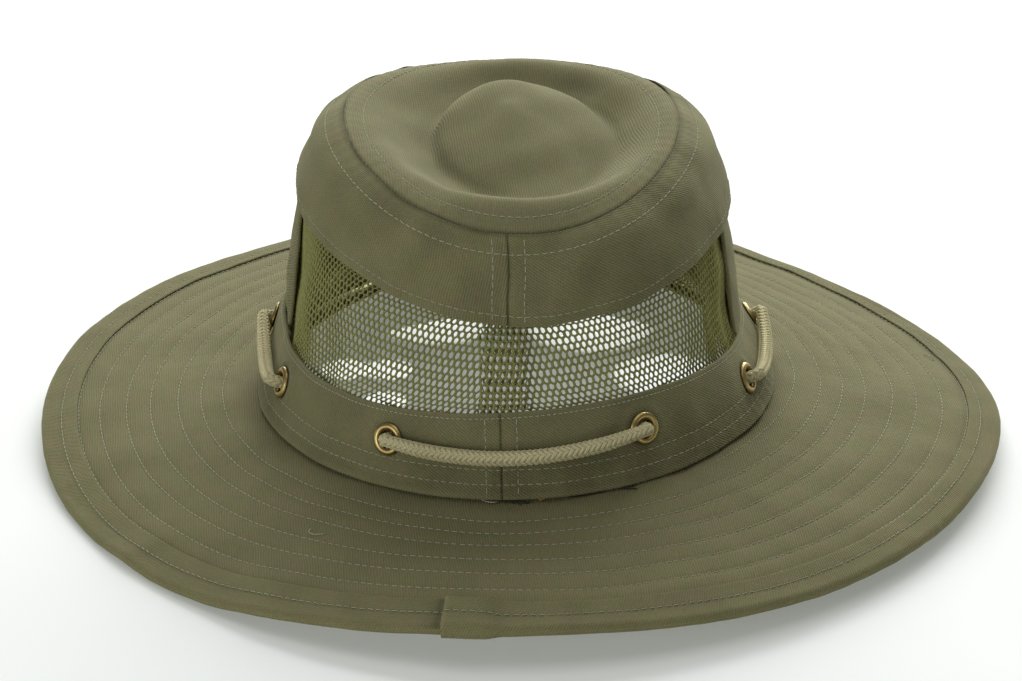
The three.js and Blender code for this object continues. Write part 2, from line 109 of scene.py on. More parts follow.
def clustered(start: float, end: float, count: int, centres: Sequence[float], width: float,
              gain: float) -> Array:
    """Values from start to just below end, closer together near some centres.

    They are spaced for a density of 1 plus gain times a bell curve round each centre.

    Args:
        start: the first value.
        end: the value after the last.
        count: how many values.
        centres: where they lie closer.
        width: the width of each bell curve.
        gain: how much closer they lie at a centre.

    Returns:
        The values, rising.
    """
    fine = np.linspace(start, end, 8000)
    density = 1.0 + gain * sum((bell(fine - centre, width) for centre in centres), np.zeros(len(fine)))
    total = np.concatenate([[0.0], np.cumsum((density[1:] + density[:-1]) / 2.0)])
    return np.interp(np.arange(count) / count * total[-1], total, fine)


def clouds(points: Array, wavelength: float, seed: int) -> Array:
    """Soft unevenness, cut off at 1 either way."""
    return np.clip(ripple(points, wavelength, seed), -1.0, 1.0)


def circle(count: int, start: float = 0.0) -> Array:
    """(count, 2) places on a circle of radius 1, from a starting turn in radians."""
    turn = 2.0 * math.pi * np.arange(count) / count + start
    return np.stack([np.cos(turn), np.sin(turn)], axis=-1)


def travelled(points: Array) -> Array:
    """How far along its line each point lies, from the line's first point, in mm."""
    steps = np.linalg.norm(np.diff(points, axis=0), axis=-1)
    return np.concatenate([np.zeros_like(steps[:1]), np.cumsum(steps, axis=0)])


# Surfaces and meshes

@dataclass
class Surface:
    """A mesh in the making, in mm.

    Attributes:
        points: places, (P, 3).
        faces: arrays of corner numbers, each (F, 3) or (F, 4).
        weave: flat places on the uncut cloth in mm, (W, 2).
        weave_faces: the same faces, with numbers into weave.
        wear_and_shade: for each point, from -1 for painted shade in seams, creases and under edges to 1 for
            cloth rubbed pale.
    """

    points: Array
    faces: list[Array]
    weave: Array
    weave_faces: list[Array]
    wear_and_shade: Array

    @staticmethod
    def joined(parts: Sequence["Surface"]) -> "Surface":
        """One surface of several, with their corner numbers moved on."""
        faces: list[Array] = []
        weave_faces: list[Array] = []
        point_count = 0
        weave_count = 0
        for part in parts:
            faces += [face + point_count for face in part.faces]
            weave_faces += [face + weave_count for face in part.weave_faces]
            point_count += len(part.points)
            weave_count += len(part.weave)
        return Surface(np.concatenate([part.points for part in parts]), faces,
                       np.concatenate([part.weave for part in parts]), weave_faces,
                       np.concatenate([part.wear_and_shade for part in parts]))


def grid_numbers(rows: int, columns: int, close_rows: bool, close_columns: bool) -> tuple[Array, Array]:
    """Corner numbers of a grid's quads, whose outside is columns x rows by the right-hand rule.

    Args:
        rows: rows of points.
        columns: columns of points.
        close_rows: whether the last row joins the first.
        close_columns: whether the last column joins the first.

    Returns:
        The numbers into the points, and those into a weave table that has one more row or column
        where the grid is closed; both of shape (quad rows, quad columns, 4).
    """
    i = np.arange(rows if close_rows else rows - 1)[:, None, None]
    j = np.arange(columns if close_columns else columns - 1)[None, :, None]
    down = np.array([0, 0, 1, 1])
    across = np.array([0, 1, 1, 0])
    points = (i + down) % rows * columns + (j + across) % columns
    weave_columns = columns + 1 if close_columns else columns
    return points, (i + down) * weave_columns + (j + across)


def wrapped(grid: Array, rows: bool, columns: bool) -> Array:
    """A grid with its first row and/or column repeated at the end."""
    if rows:
        grid = np.concatenate([grid, grid[:1]])
    if columns:
        grid = np.concatenate([grid, grid[:, :1]], axis=1)
    return grid


def grid_surface(points: Array, weave: Array, wear_and_shade: Array, close_rows: bool, close_columns: bool,
                 cut: Array | None = None) -> Surface:
    """A grid of quads as a surface.

    Args:
        points: (R, C, 3) in mm.
        weave: (R or R + 1, C or C + 1, 2), one longer where the grid is closed.
        wear_and_shade: (R, C).
        close_rows: whether the last row joins the first.
        close_columns: whether the last column joins the first.
        cut: quads to leave out, (quad rows, quad columns), if any.

    Returns:
        The surface.
    """
    rows, columns = points.shape[:2]
    faces, weave_faces = grid_numbers(rows, columns, close_rows, close_columns)
    kept = np.ones(faces.shape[:2], bool) if cut is None else ~cut
    return Surface(points.reshape(-1, 3), [faces[kept]], weave.reshape(-1, 2), [weave_faces[kept]],
                   wear_and_shade.reshape(-1))


def sweep(centres: Array, first: Array, second: Array, section: Array, closed: bool) -> Surface:
    """A profile carried along a path: each ring is centre + x first + y second.

    Args:
        centres: (N, 3) path in mm.
        first: (N, 3) direction of the profile's x.
        second: (N, 3) direction of the profile's y; first x second points along the path.
        section: (K, 2) profile, counter-clockwise, or (N, K, 2) where it changes on the way.
        closed: whether the path ends where it starts; an open one gets flat ends.

    Returns:
        The tube; its weave runs round it and along it, in mm.
    """
    section = np.broadcast_to(section, (len(centres),) + section.shape[-2:])
    rings = centres[:, None] + section[..., :1] * first[:, None] + section[..., 1:] * second[:, None]
    along = travelled(np.concatenate([centres, centres[:1]]) if closed else centres)
    around = travelled(np.concatenate([section[0], section[0][:1]]))
    weave = np.stack(np.broadcast_arrays(around[None, :], along[:, None]), axis=-1)
    surface = grid_surface(rings, weave, np.zeros(rings.shape[:2]), closed, True)
    if not closed:
        sides = section.shape[-2]
        ends = np.arange(sides)
        surface.faces += [ends[None, ::-1], (len(centres) - 1) * sides + ends[None]]
        surface.weave_faces += [ends[None, ::-1], (len(centres) - 1) * (sides + 1) + ends[None]]
    return surface


EDGE_TURNS = np.radians([30.0, 60.0, 90.0, 120.0, 150.0])


def edge_roll(outer: Array, inner: Array, before: Array) -> Array:
    """Points round the rolled edge of a wall: middle + cos(turn) half-thickness + sin(turn) outwards.

    Args:
        outer: (C, 3) last points of the outer side.
        inner: (C, 3) last points of the inner side.
        before: (C, 3) the points of the outer side just before them.

    Returns:
        (5, C, 3), from the outer side to the inner.
    """
    middle = (outer + inner) / 2.0
    half = (outer - inner) / 2.0
    beyond = unit(outer - before) * np.linalg.norm(half, axis=-1, keepdims=True)
    turns = EDGE_TURNS[:, None, None]
    return middle + np.cos(turns) * half + np.sin(turns) * beyond


def end_faces(side_rows: int, columns: int, column: int, flip: bool) -> list[Array]:
    """The faces that close one cut end of a wall ring with as many rows inside as outside.

    Row k of the outer side and row 2 m + 4 - k of the ring face each other across the cloth, for m
    rows on each side; the rows in the middle of the two rolled edges face themselves.

    Args:
        side_rows: rows of the outer side.
        columns: columns in the numbering.
        column: the column that is closed.
        flip: whether the faces turn the other way.

    Returns:
        A strip of quads and the triangle at each of its ends.
    """
    total = 2 * (side_rows + len(EDGE_TURNS))
    k = np.arange(-3, side_rows + 2)
    partner = 2 * side_rows + 4 - k
    quads = np.stack([k, k + 1, partner - 1, partner], axis=-1) % total * columns + column
    groups = [quads[1:-1], quads[:1, :3], quads[-1:][:, [0, 1, 3]]]
    return [group[:, ::-1] for group in groups] if flip else groups


def cloth_ring(outer: Array, inner: Array, weave: Array, wear_and_shade: Array, closed: bool,
               edge_wear_and_shade: tuple[float, float] = (0.35, 0.35), cut: Array | None = None) -> Surface:
    """A cloth wall with rolled edges: its outer side, an edge, its inner side and the other edge.

    Args:
        outer: (R, C, 3) the outer side.
        inner: (S, C, 3) the inner side, from the same edge; S = R where the wall has ends or holes.
        weave: (R, C or C + 1, 2) the outer side's places on the flat cloth.
        wear_and_shade: (R, C) the outer side's wear and painted shade.
        closed: whether the last column joins the first.
        edge_wear_and_shade: the wear, or where below 0 the painted shade, on the first and on the last rolled
            edge.
        cut: (R - 1, C) quads of the closed wall that a hole takes out of both sides, if any.

    Returns:
        The closed wall.
    """
    end = edge_roll(outer[-1], inner[-1], outer[-2])
    start = edge_roll(outer[0], inner[0], outer[1])[::-1]
    points = np.concatenate([outer, end, inner[::-1], start])
    half = np.linalg.norm(outer[0, 0] - inner[0, 0]) / 2.0
    reach = np.minimum(EDGE_TURNS, math.pi - EDGE_TURNS)[:, None, None] * half
    end_weave = weave[-1] + unit(weave[-1] - weave[-2]) * reach
    start_weave = (weave[0] + unit(weave[0] - weave[1]) * reach)[::-1]
    pick = np.round(np.linspace(0, len(outer) - 1, len(inner))).astype(int)
    ring_weave = wrapped(np.concatenate([weave, end_weave, weave[pick][::-1], start_weave]), True, False)
    first, last = (np.full((len(EDGE_TURNS), outer.shape[1]), value) for value in edge_wear_and_shade)
    ring_wear_and_shade = np.concatenate([wear_and_shade, last, 0.3 * wear_and_shade[pick][::-1], first])
    side, columns = outer.shape[:2]
    ring_cut = None
    if cut is not None:
        ring_cut = np.zeros((len(points), columns), bool)
        ring_cut[:side - 1] = cut
        ring_cut[side + len(EDGE_TURNS):2 * side + len(EDGE_TURNS) - 1] = cut[::-1]
    surface = grid_surface(points, ring_weave, ring_wear_and_shade, True, closed, ring_cut)
    if cut is not None:
        surface.faces.append(hole_walls(cut, columns))
        surface.weave_faces.append(hole_walls(cut, columns + 1))
    if not closed:
        for column, flip in ((0, False), (columns - 1, True)):
            surface.faces += end_faces(side, columns, column, flip)
            surface.weave_faces += end_faces(side, columns, column, flip)
    return surface


def close_ends(surface: Surface, rows: int, columns: int, plan: bool = False) -> None:
    """Closes the first and the last row of a tube with a fan of triangles about the row's middle.

    Args:
        surface: a grid that is closed across its columns and open at its first and last row.
        rows: its rows.
        columns: its columns.
        plan: whether its weave is that of a cloth laid level, so that a middle's place on it is (x, y).
    """
    ring = np.arange(columns)
    following = (ring + 1) % columns
    count, weave_count = len(surface.points), len(surface.weave)
    last, weave_last = (rows - 1) * columns, (rows - 1) * (columns + 1)
    middles = np.stack([surface.points[:columns].mean(axis=0), surface.points[last:].mean(axis=0)])
    surface.faces += [np.stack([following, ring, np.full(columns, count)], axis=-1),
                      np.stack([last + ring, last + following, np.full(columns, count + 1)], axis=-1)]
    surface.weave_faces += [np.stack([ring + 1, ring, np.full(columns, weave_count)], axis=-1),
                            np.stack([weave_last + ring, weave_last + ring + 1,
                                      np.full(columns, weave_count + 1)], axis=-1)]
    surface.points = np.concatenate([surface.points, middles])
    surface.weave = np.concatenate([surface.weave, middles[:, :2] if plan else np.zeros((2, 2))])
    surface.wear_and_shade = np.concatenate([surface.wear_and_shade, [0.0, 0.0]])


def hole_walls(cut: Array, stride: int) -> Array:
    """Quads through the cloth along the rim of the quads that were cut out of both its sides.

    Args:
        cut: (R - 1, C) the quads that are out.
        stride: columns in the numbering, one more in a weave table than in the points.

    Returns:
        (F, 4) corner numbers, facing into the hole.
    """
    rows = cut.shape[0] + 1
    facing = 2 * rows + len(EDGE_TURNS) - 1
    padded = np.pad(cut, ((1, 1), (0, 0)))
    walls = []
    # Each neighbour that stays, as (row step, column step), with the two corners of the shared side.
    for (down, across), (a, b) in {(0, -1): ((1, 0), (0, 0)), (0, 1): ((0, 1), (1, 1)),
                                   (-1, 0): ((0, 0), (0, 1)), (1, 0): ((1, 1), (1, 0))}.items():
        neighbour = np.roll(padded, (-down, -across), axis=(0, 1))[1:-1]
        r, c = np.nonzero(cut & ~neighbour)
        first = (r + a[0], (c + a[1]) % stride)
        second = (r + b[0], (c + b[1]) % stride)
        walls.append(np.stack([first[0] * stride + first[1], second[0] * stride + second[1],
                               (facing - second[0]) * stride + second[1],
                               (facing - first[0]) * stride + first[1]], axis=-1))
    return np.concatenate(walls)


def add_piece(name: str, surface: Surface, material: bpy.types.Material,
              replaces: Sequence[str] = ()) -> None:
    """Makes a piece of the hat from a surface, riding on the root body.

    Args:
        name: the piece's name.
        surface: its surface in mm.
        material: its finish.
        replaces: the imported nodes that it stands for.
    """
    mesh = bpy.data.meshes.new(name)
    sizes = np.concatenate([np.full(len(face), face.shape[1]) for face in surface.faces])
    corners = np.concatenate([face.reshape(-1) for face in surface.faces]).astype(np.int32)
    weave_corners = np.concatenate([face.reshape(-1) for face in surface.weave_faces])
    mesh.vertices.add(len(surface.points))
    mesh.vertices.foreach_set("co", (surface.points * MM).astype(np.float32).reshape(-1))
    mesh.loops.add(len(corners))
    mesh.loops.foreach_set("vertex_index", corners)
    mesh.polygons.add(len(sizes))
    mesh.polygons.foreach_set("loop_start", np.concatenate([[0], np.cumsum(sizes)[:-1]]).astype(np.int32))
    mesh.update(calc_edges=True)
    layer = mesh.uv_layers.new(name=WEAVE_MAP)
    layer.data.foreach_set("uv", surface.weave[weave_corners].astype(np.float32).reshape(-1))
    wear_and_shade = mesh.attributes.new(WEAR_AND_SHADE, "FLOAT", "POINT")
    wear_and_shade.data.foreach_set("value", surface.wear_and_shade.astype(np.float32))
    mesh.shade_smooth()
    piece = bpy.data.objects.new(name, mesh)
    bpy.context.scene.collection.objects.link(piece)
    mesh.materials.append(material)
    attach(piece, "root")
    if replaces:
        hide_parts(*replaces)
    log.info("%s: %d triangles", name, int((sizes - 2).sum()))


# The hat's form

@dataclass(frozen=True)
class OvalTable:
    """Oval sections of the hat, joined by smooth curves.

    Each row holds its place in the table, the half axes and the middle of the oval, its height on the
    right, at the front, on the left and at the back, and its twist between those, all in mm.

    Attributes:
        rows: the sections.
        flat_start: whether the surface is level at the first section, as at the middle of the tip.
    """

    rows: tuple[tuple[float, ...], ...]
    flat_start: bool = False

    def sections(self, at: Array) -> Array:
        """Sections at any places: cubics whose slope at a row is that of a parabola by its neighbours."""
        table = np.array(sorted(self.rows))
        stops, values = table[:, 0], table[:, 1:]
        slopes = np.gradient(values, stops, axis=0)
        if self.flat_start:
            slopes[0, 4:] = 0.0
        i = np.clip(np.searchsorted(stops, at, side="right") - 1, 0, len(stops) - 2)
        width = (stops[i + 1] - stops[i])[..., None]
        k = np.clip((at - stops[i])[..., None] / width, 0.0, 1.0)
        rise = k * k * (3.0 - 2.0 * k)
        return (mix(values[i], values[i + 1], rise) + slopes[i] * width * k * (1.0 - k) ** 2
                - slopes[i + 1] * width * k * k * (1.0 - k))

    def point(self, degrees: Array, at: Array) -> Array:
        """Places on the sections: (x + a cos, y + b sin, a height with one and two waves to the turn)."""
        degrees, at = np.broadcast_arrays(np.asarray(degrees, float), np.asarray(at, float))
        width, length, x, y, right, front, left, back, twist = np.moveaxis(self.sections(at), -1, 0)
        c = np.cos(np.radians(degrees))
        s = np.sin(np.radians(degrees))
        height = ((right + front + left + back) / 4.0 + c * (right - left) / 2.0 + s * (front - back) / 2.0
                  + (right + left - front - back) / 4.0 * (c * c - s * s) + twist * 2.0 * s * c)
        return np.stack([x + width * c, y + length * s, height], axis=-1)


LOWER_BAND = OvalTable((
    (0.00, 92.0, 107.2, -1.6, 0.25, 23.0, 22.1, 18.7, 22.1, 0.0),
    (0.18, 89.8, 105.5, -1.8, 0.25, 26.5, 27.2, 23.7, 27.1, -0.7),
    (0.62, 86.0, 102.7, -2.3, 0.25, 35.2, 39.8, 36.2, 39.3, -2.3),
    (1.00, 81.4, 99.3, -2.8, 0.25, 42.7, 50.7, 47.0, 49.9, -3.8)))
UPPER_BAND = OvalTable((
    (0.00, 75.5, 85.8, -2.9, 0.65, 85.4, 74.7, 93.0, 74.7, 0.0),
    (0.30, 74.1, 86.9, -3.1, 0.55, 94.6, 85.1, 101.1, 83.9, 0.3),
    (0.56, 70.9, 86.3, -2.7, 0.45, 102.5, 94.0, 108.1, 91.8, 0.6),
    (0.83, 66.7, 84.2, -2.9, 0.35, 110.7, 103.3, 115.4, 100.1, 0.8),
    (1.00, 57.7, 80.8, -3.3, 0.25, 115.9, 109.2, 120.0, 105.3, 1.0)))
TIP = OvalTable((
    (1.00, 57.7, 80.8, -3.3, 0.25, 115.9, 109.2, 120.0, 105.3, 1.0),
    (0.92, 53.1, 74.4, -3.1, 0.35, 115.8, 112.4, 119.1, 109.1, 1.0),
    (0.84, 48.5, 68.0, -2.6, 0.45, 114.3, 114.1, 116.9, 111.7, 0.8),
    (0.64, 37.6, 52.6, -0.8, 1.15, 108.3, 109.0, 109.6, 103.9, 0.2),
    (0.54, 32.2, 44.6, 0.4, 1.65, 105.8, 107.0, 106.4, 102.2, 0.0),
    (0.44, 27.0, 38.0, -0.4, 3.0, 108.6, 112.6, 110.8, 103.8, 0.0),
    (0.26, 15.6, 23.0, -4.0, 8.0, 113.2, 118.8, 115.4, 110.8, 0.0),
    (0.00, 0.0, 0.0, -5.0, 12.0, 118.6, 118.6, 118.6, 118.6, 0.0)), flat_start=True)
BRIM_OPENING = OvalTable((
    (0.0, 88.5, 103.7, -1.6, 0.25, 21.0, 20.1, 16.7, 20.1, 0.0),
    (1.0, 88.5, 103.7, -1.6, 0.25, 21.0, 20.1, 16.7, 20.1, 0.0)))
# The cloth's thickness in the crown, and how far the net lies inside the two bands' skins, in mm.
WALL = 1.5
NET_INSET_LOW = 2.1
NET_INSET_HIGH = 1.8


def inset_row(table: OvalTable, at: float, inset: float, new_at: float) -> tuple[float, ...]:
    """A section of a table, made narrower and shorter by an inset and put at a new place."""
    section = table.sections(np.array(at))
    section[:2] -= inset
    return (new_at, *(float(value) for value in section))


NET = OvalTable((
    inset_row(LOWER_BAND, 0.85, NET_INSET_LOW, 0.0),
    inset_row(LOWER_BAND, 1.00, NET_INSET_LOW, 0.17),
    inset_row(UPPER_BAND, 0.00, NET_INSET_HIGH, 0.83),
    inset_row(UPPER_BAND, 0.16, NET_INSET_HIGH, 1.0)))


@dataclass(frozen=True)
class Skin:
    """A surface over degrees round the hat and a share v from 0 to 1 across it.

    Attributes:
        point: the place at degrees and v; its outside is that of growing degrees x growing v.
    """

    point: Callable[[Array, Array], Array]

    def outward(self, degrees: Array, v: Array) -> Array:
        """The unit outward direction, from small steps along and across the surface."""
        along = self.point(degrees + 0.5, v) - self.point(degrees - 0.5, v)
        across = (self.point(degrees, np.minimum(v + 0.004, np.maximum(v, 1.0)))
                  - self.point(degrees, np.maximum(v - 0.004, np.minimum(v, 0.0))))
        return unit(np.cross(along, across))

    @staticmethod
    def of(table: OvalTable, falling: bool = False) -> "Skin":
        """The skin of a table, whose v runs with its places or, where falling, against them."""
        if falling:
            return Skin(lambda degrees, v: table.point(degrees, 1.0 - np.asarray(v)))
        return Skin(table.point)


@dataclass
class Sheet:
    """A piece of cloth on a grid, and where each of its points lies on the cloth.

    Attributes:
        degrees: (C,) the columns.
        points: (R, C, 3) its outer side in mm.
        normals: (R, C, 3) outward directions.
        low: (R, C) mm up from its first edge.
        high: (R, C) mm down from its last edge.
        along: (C + 1,) mm round from the first column, half-way up.
        speed: (R, C) mm round for each degree.
    """

    degrees: Array
    points: Array
    normals: Array
    low: Array
    high: Array
    along: Array
    speed: Array

    @staticmethod
    def over(skin: Skin, degrees: Array, v: Array, roll: float) -> "Sheet":
        """The plain sheet on a skin.

        Args:
            skin: the surface that it lies on.
            degrees: (C,) its columns.
            v: (R,) or (R, C) its rows.
            roll: how far the rolled edges reach past the first and last rows, in mm.

        Returns:
            The sheet.
        """
        rows = v[:, None] if v.ndim == 1 else v
        points = skin.point(degrees[None, :], rows)
        ahead = skin.point(degrees[None, :] + 0.5, rows)
        behind = skin.point(degrees[None, :] - 0.5, rows)
        low = travelled(points) + roll
        middle = points[len(points) // 2]
        return Sheet(degrees, points, skin.outward(degrees[None, :], rows), low, low[-1] + roll - low,
                     travelled(np.concatenate([middle, middle[:1]])),
                     np.linalg.norm(ahead - behind, axis=-1))

    def beside(self, centre: float) -> Array:
        """How far each point lies to the right of a direction's line, seen from outside, in mm."""
        return turn_from(self.degrees, centre)[None, :] * self.speed

    def raised(self, height: Array) -> "Sheet":
        """The sheet with each point moved outwards by a height in mm."""
        return Sheet(self.degrees, self.points + self.normals * height[..., None], self.normals, self.low,
                     self.high, self.along, self.speed)

    def row(self, distance: float | Array, from_high: bool = False) -> tuple[Array, Array]:
        """The line at a distance from an edge.

        Args:
            distance: mm from the first edge, or from the last.
            from_high: whether it is measured from the last edge.

        Returns:
            (C, 3) places and (C, 3) outward directions.
        """
        measure = -self.high if from_high else self.low
        wanted = np.broadcast_to(-np.asarray(distance) if from_high else np.asarray(distance),
                                 measure.shape[1:])
        i = np.clip((measure < wanted).sum(axis=0) - 1, 0, len(measure) - 2)
        c = np.arange(measure.shape[1])
        k = ((wanted - measure[i, c]) / (measure[i + 1, c] - measure[i, c]))[:, None]
        return mix(self.points[i, c], self.points[i + 1, c], k), unit(mix(self.normals[i, c],
                                                                           self.normals[i + 1, c], k))

    def rise(self, centre: float, offset: float) -> tuple[Array, Array]:
        """The line up the cloth at an offset beside a direction, from 1 mm inside one edge to the other's.

        Args:
            centre: the direction in degrees.
            offset: mm to its right, seen from outside.

        Returns:
            (N, 3) places and (N, 3) outward directions.
        """
        half = len(self.degrees) // 2
        shift = int(np.argmin(np.abs(turn_from(self.degrees, centre)))) - half
        measure, points, normals = (np.roll(grid, -shift, axis=1)
                                    for grid in (self.beside(centre), self.points, self.normals))
        i = np.clip((measure[:, :-1] < offset).sum(axis=1) - 1, 0, measure.shape[1] - 2)
        r = np.arange(len(measure))
        k = ((offset - measure[r, i]) / (measure[r, i + 1] - measure[r, i]))[:, None]
        line = mix(points[r, i], points[r, i + 1], k)
        kept = (self.low[:, 0] > 1.0) & (self.high[:, 0] > 1.0)
        return line[kept], unit(mix(normals[r, i], normals[r, i + 1], k))[kept]

    def strip_weave(self, curve: float = 0.0) -> Array:
        """Places on a flat strip: (u, v), or on an arc of radius 1 / curve that bends towards its top.

        Args:
            curve: the strip's bend in turns of radian per mm; 0 for a straight strip.

        Returns:
            (R, C + 1, 2) in mm.
        """
        u = np.broadcast_to(self.along[None, :], (len(self.low), len(self.along)))
        v = wrapped(self.low, False, True)
        if curve == 0.0:
            return np.stack([u, v], axis=-1)
        radius = 1.0 / curve
        return np.stack([(radius - v) * np.sin(u * curve), -(radius - v) * np.cos(u * curve)], axis=-1)

    def plan_weave(self) -> Array:
        """Places on a flat cloth that was laid level over the sheet: (x, y), of shape (R, C + 1, 2)."""
        return wrapped(self.points[..., :2], False, True)


def sewn(distance: Array, rows: Sequence[float], depth: float = 0.22, width: float = 0.6) -> Array:
    """Furrows that rows of stitches press into cloth: minus a bell curve round each row's distance."""
    return -depth * sum((bell(distance - row, width) for row in rows), np.zeros_like(distance))


def pressed_seam(beside: Array, flap: float) -> Array:
    """A seam pressed open: raised by 0.35 mm as far as its two flaps reach, with a furrow between them."""
    return 0.35 * (1.0 - ease(np.abs(beside), flap, flap + 1.4)) - 0.75 * bell(beside, 0.4)


def gathers(along: Array, distance: Array, row: float, reach: float, wavelength: float,
            height: float) -> Array:
    """Small puckers that cross a row of stitches: a sine along it, faded by a bell curve across it."""
    bend = 0.9 * np.sin(along * 0.113) + 0.6 * np.sin(along * 0.047 + 1.0)
    return height * np.sin(2.0 * math.pi * along / wavelength + bend) * bell(distance - row, reach)


@dataclass(frozen=True)
class Stitches:
    """A row of machine stitches, each a short strand that dips into the cloth at both ends.

    Attributes:
        pitch: mm from one stitch to the next.
        share: how much of the pitch a stitch takes.
        half_width: half of a strand's width in mm.
        half_height: half of its height in mm.
    """

    pitch: float = 2.7
    share: float = 0.84
    half_width: float = 0.16
    half_height: float = 0.14

    def along(self, points: Array, normals: Array, closed: bool = True, seed: int = 1) -> Surface:
        """Stitches along a line: four rings each, at 0, .2, .8 and 1 of a stitch, the outer two sunk.

        Args:
            points: (N, 3) the line in mm.
            normals: (N, 3) outward directions.
            closed: whether it ends where it starts.
            seed: the seed of the stitches' small unevenness.

        Returns:
            The strands.
        """
        if closed:
            points = np.concatenate([points, points[:1]])
            normals = np.concatenate([normals, normals[:1]])
        reach = travelled(points)
        count = max(1, int(reach[-1] / self.pitch))
        pitch = reach[-1] / count
        random = np.random.default_rng(seed)
        start = (np.arange(count) + 0.5 * (1.0 - self.share)) * pitch + random.normal(0.0, 0.08, count)
        stops = np.array([0.0, 0.2, 0.8, 1.0])
        place = start[:, None] + stops * self.share * pitch

        def sampled(values: Array, at: Array) -> Array:
            """Vectors at distances along the line, each component by straight lines between points."""
            return np.stack([np.interp(at, reach, values[:, axis]) for axis in range(3)], axis=-1)

        normal = unit(sampled(normals, place))
        tangent = unit(sampled(points, place + 0.3) - sampled(points, place - 0.3))
        side = unit(np.cross(normal, tangent))
        lift = np.array([-0.3, 0.12, 0.12, -0.3])[None, :, None]
        lean = random.normal(0.0, 0.07, (count, 1, 1)) * np.array([-1.0, -0.6, 0.6, 1.0])[None, :, None]
        centre = sampled(points, place) + normal * lift + side * lean
        turns = np.array([[1.0, 0.0], [0.0, 1.0], [-1.0, 0.0], [0.0, -1.0]])
        ring = (centre[:, :, None] + side[:, :, None] * turns[:, :1] * self.half_width
                + normal[:, :, None] * turns[:, 1:] * self.half_height)
        k = np.arange(4)
        i = np.arange(3)[:, None]
        sides = np.stack([i * 4 + k, i * 4 + (k + 1) % 4, (i + 1) * 4 + (k + 1) % 4, (i + 1) * 4 + k],
                         axis=-1).reshape(-1, 4)
        one = np.concatenate([sides, [[3, 2, 1, 0]], [[12, 13, 14, 15]]])
        faces = (one[None] + 16 * np.arange(count)[:, None, None]).reshape(-1, 4)
        flat = np.stack(np.broadcast_arrays(k[None, None] * 0.3, place[:, :, None]), axis=-1)
        return Surface(ring.reshape(-1, 3), [faces], flat.reshape(-1, 2), [faces], np.zeros(count * 16))


# The hat's sub-assemblies

@dataclass
class UpperBand:
    """The crown's twill side wall: an arc-cut strip, closed by a seam at the back.

    Attributes:
        seam: the seam's direction in degrees.
        hem_stitch: mm from the hem's edge to its stitches.
        top_stitch: mm from the top seam to its topstitch.
        seam_stitch: mm from the back seam to the stitches on each side.
        bend: the whole turn of the arc that the strip was cut on, in degrees.
        columns, rows: points round the grid and up it.
        sheet: its outer side, once it is built.
    """

    seam: float = -89.3
    hem_stitch: float = 4.0
    top_stitch: float = 7.0
    seam_stitch: float = 5.3
    bend: float = 65.0
    columns: int = 440
    rows: int = 36
    sheet: Sheet = field(init=False)

    def build(self) -> Surface:
        """The strip with its pressed seam, hem and topstitch furrows, puckers and soft waves."""
        seams = (self.seam, self.seam + 360.0)
        degrees = clustered(*seams, self.columns, seams, width=2.5, gain=4.0)
        plain = Sheet.over(Skin.of(UPPER_BAND), degrees, np.linspace(0.022, 0.985, self.rows), 0.7)
        beside = plain.beside(self.seam)
        along = plain.along[None, :-1]
        hem = 0.35 * (1.0 - ease(plain.low, 5.0, 6.2))
        height = (pressed_seam(beside, 5.2) + hem
                  + sewn(plain.low, (self.hem_stitch,)) + sewn(plain.high, (self.top_stitch,))
                  + sewn(np.abs(beside), (self.seam_stitch,), 0.2, 0.5)
                  - 0.5 * bell(plain.high, 0.6)
                  + gathers(along, plain.low, self.hem_stitch, 5.0, 7.3, 0.08)
                  + gathers(along, plain.high, 3.5, 4.5, 6.1, 0.07)
                  + 0.36 * ripple(plain.points, 34.0, 11) + 0.05 * ripple(plain.points, 9.0, 12))
        self.sheet = plain.raised(height)
        inner = (self.sheet.points - plain.normals * WALL)[::3]
        # Pale rubbed hem edge, seam flaps and random fading; the dark line along the top seam, the dark line
        # down the back seam and the dark rolled top edge are painted shade in the seams.
        wear_and_shade = (0.5 * bell(plain.low, 0.8) + 0.35 * bell(plain.high - 2.0, 1.2) - 1.6 * bell(plain.high, 1.0)
                - 0.7 * bell(beside, 0.6) + 0.25 * bell(np.abs(beside) - 1.6, 0.9)
                + 0.3 * clouds(plain.points, 22.0, 13))
        weave = self.sheet.strip_weave(math.radians(self.bend) / plain.along[-1])
        return cloth_ring(self.sheet.points, inner, weave, wear_and_shade, True, (0.35, -1.6))

    def stitches(self, thread: Stitches) -> list[Surface]:
        """The hem's row, the topstitch and the rows beside the back seam."""
        return [thread.along(*self.sheet.row(self.hem_stitch), seed=21),
                thread.along(*self.sheet.row(self.top_stitch, True), seed=22),
                thread.along(*self.sheet.rise(self.seam, self.seam_stitch), False, 23),
                thread.along(*self.sheet.rise(self.seam, -self.seam_stitch), False, 24)]


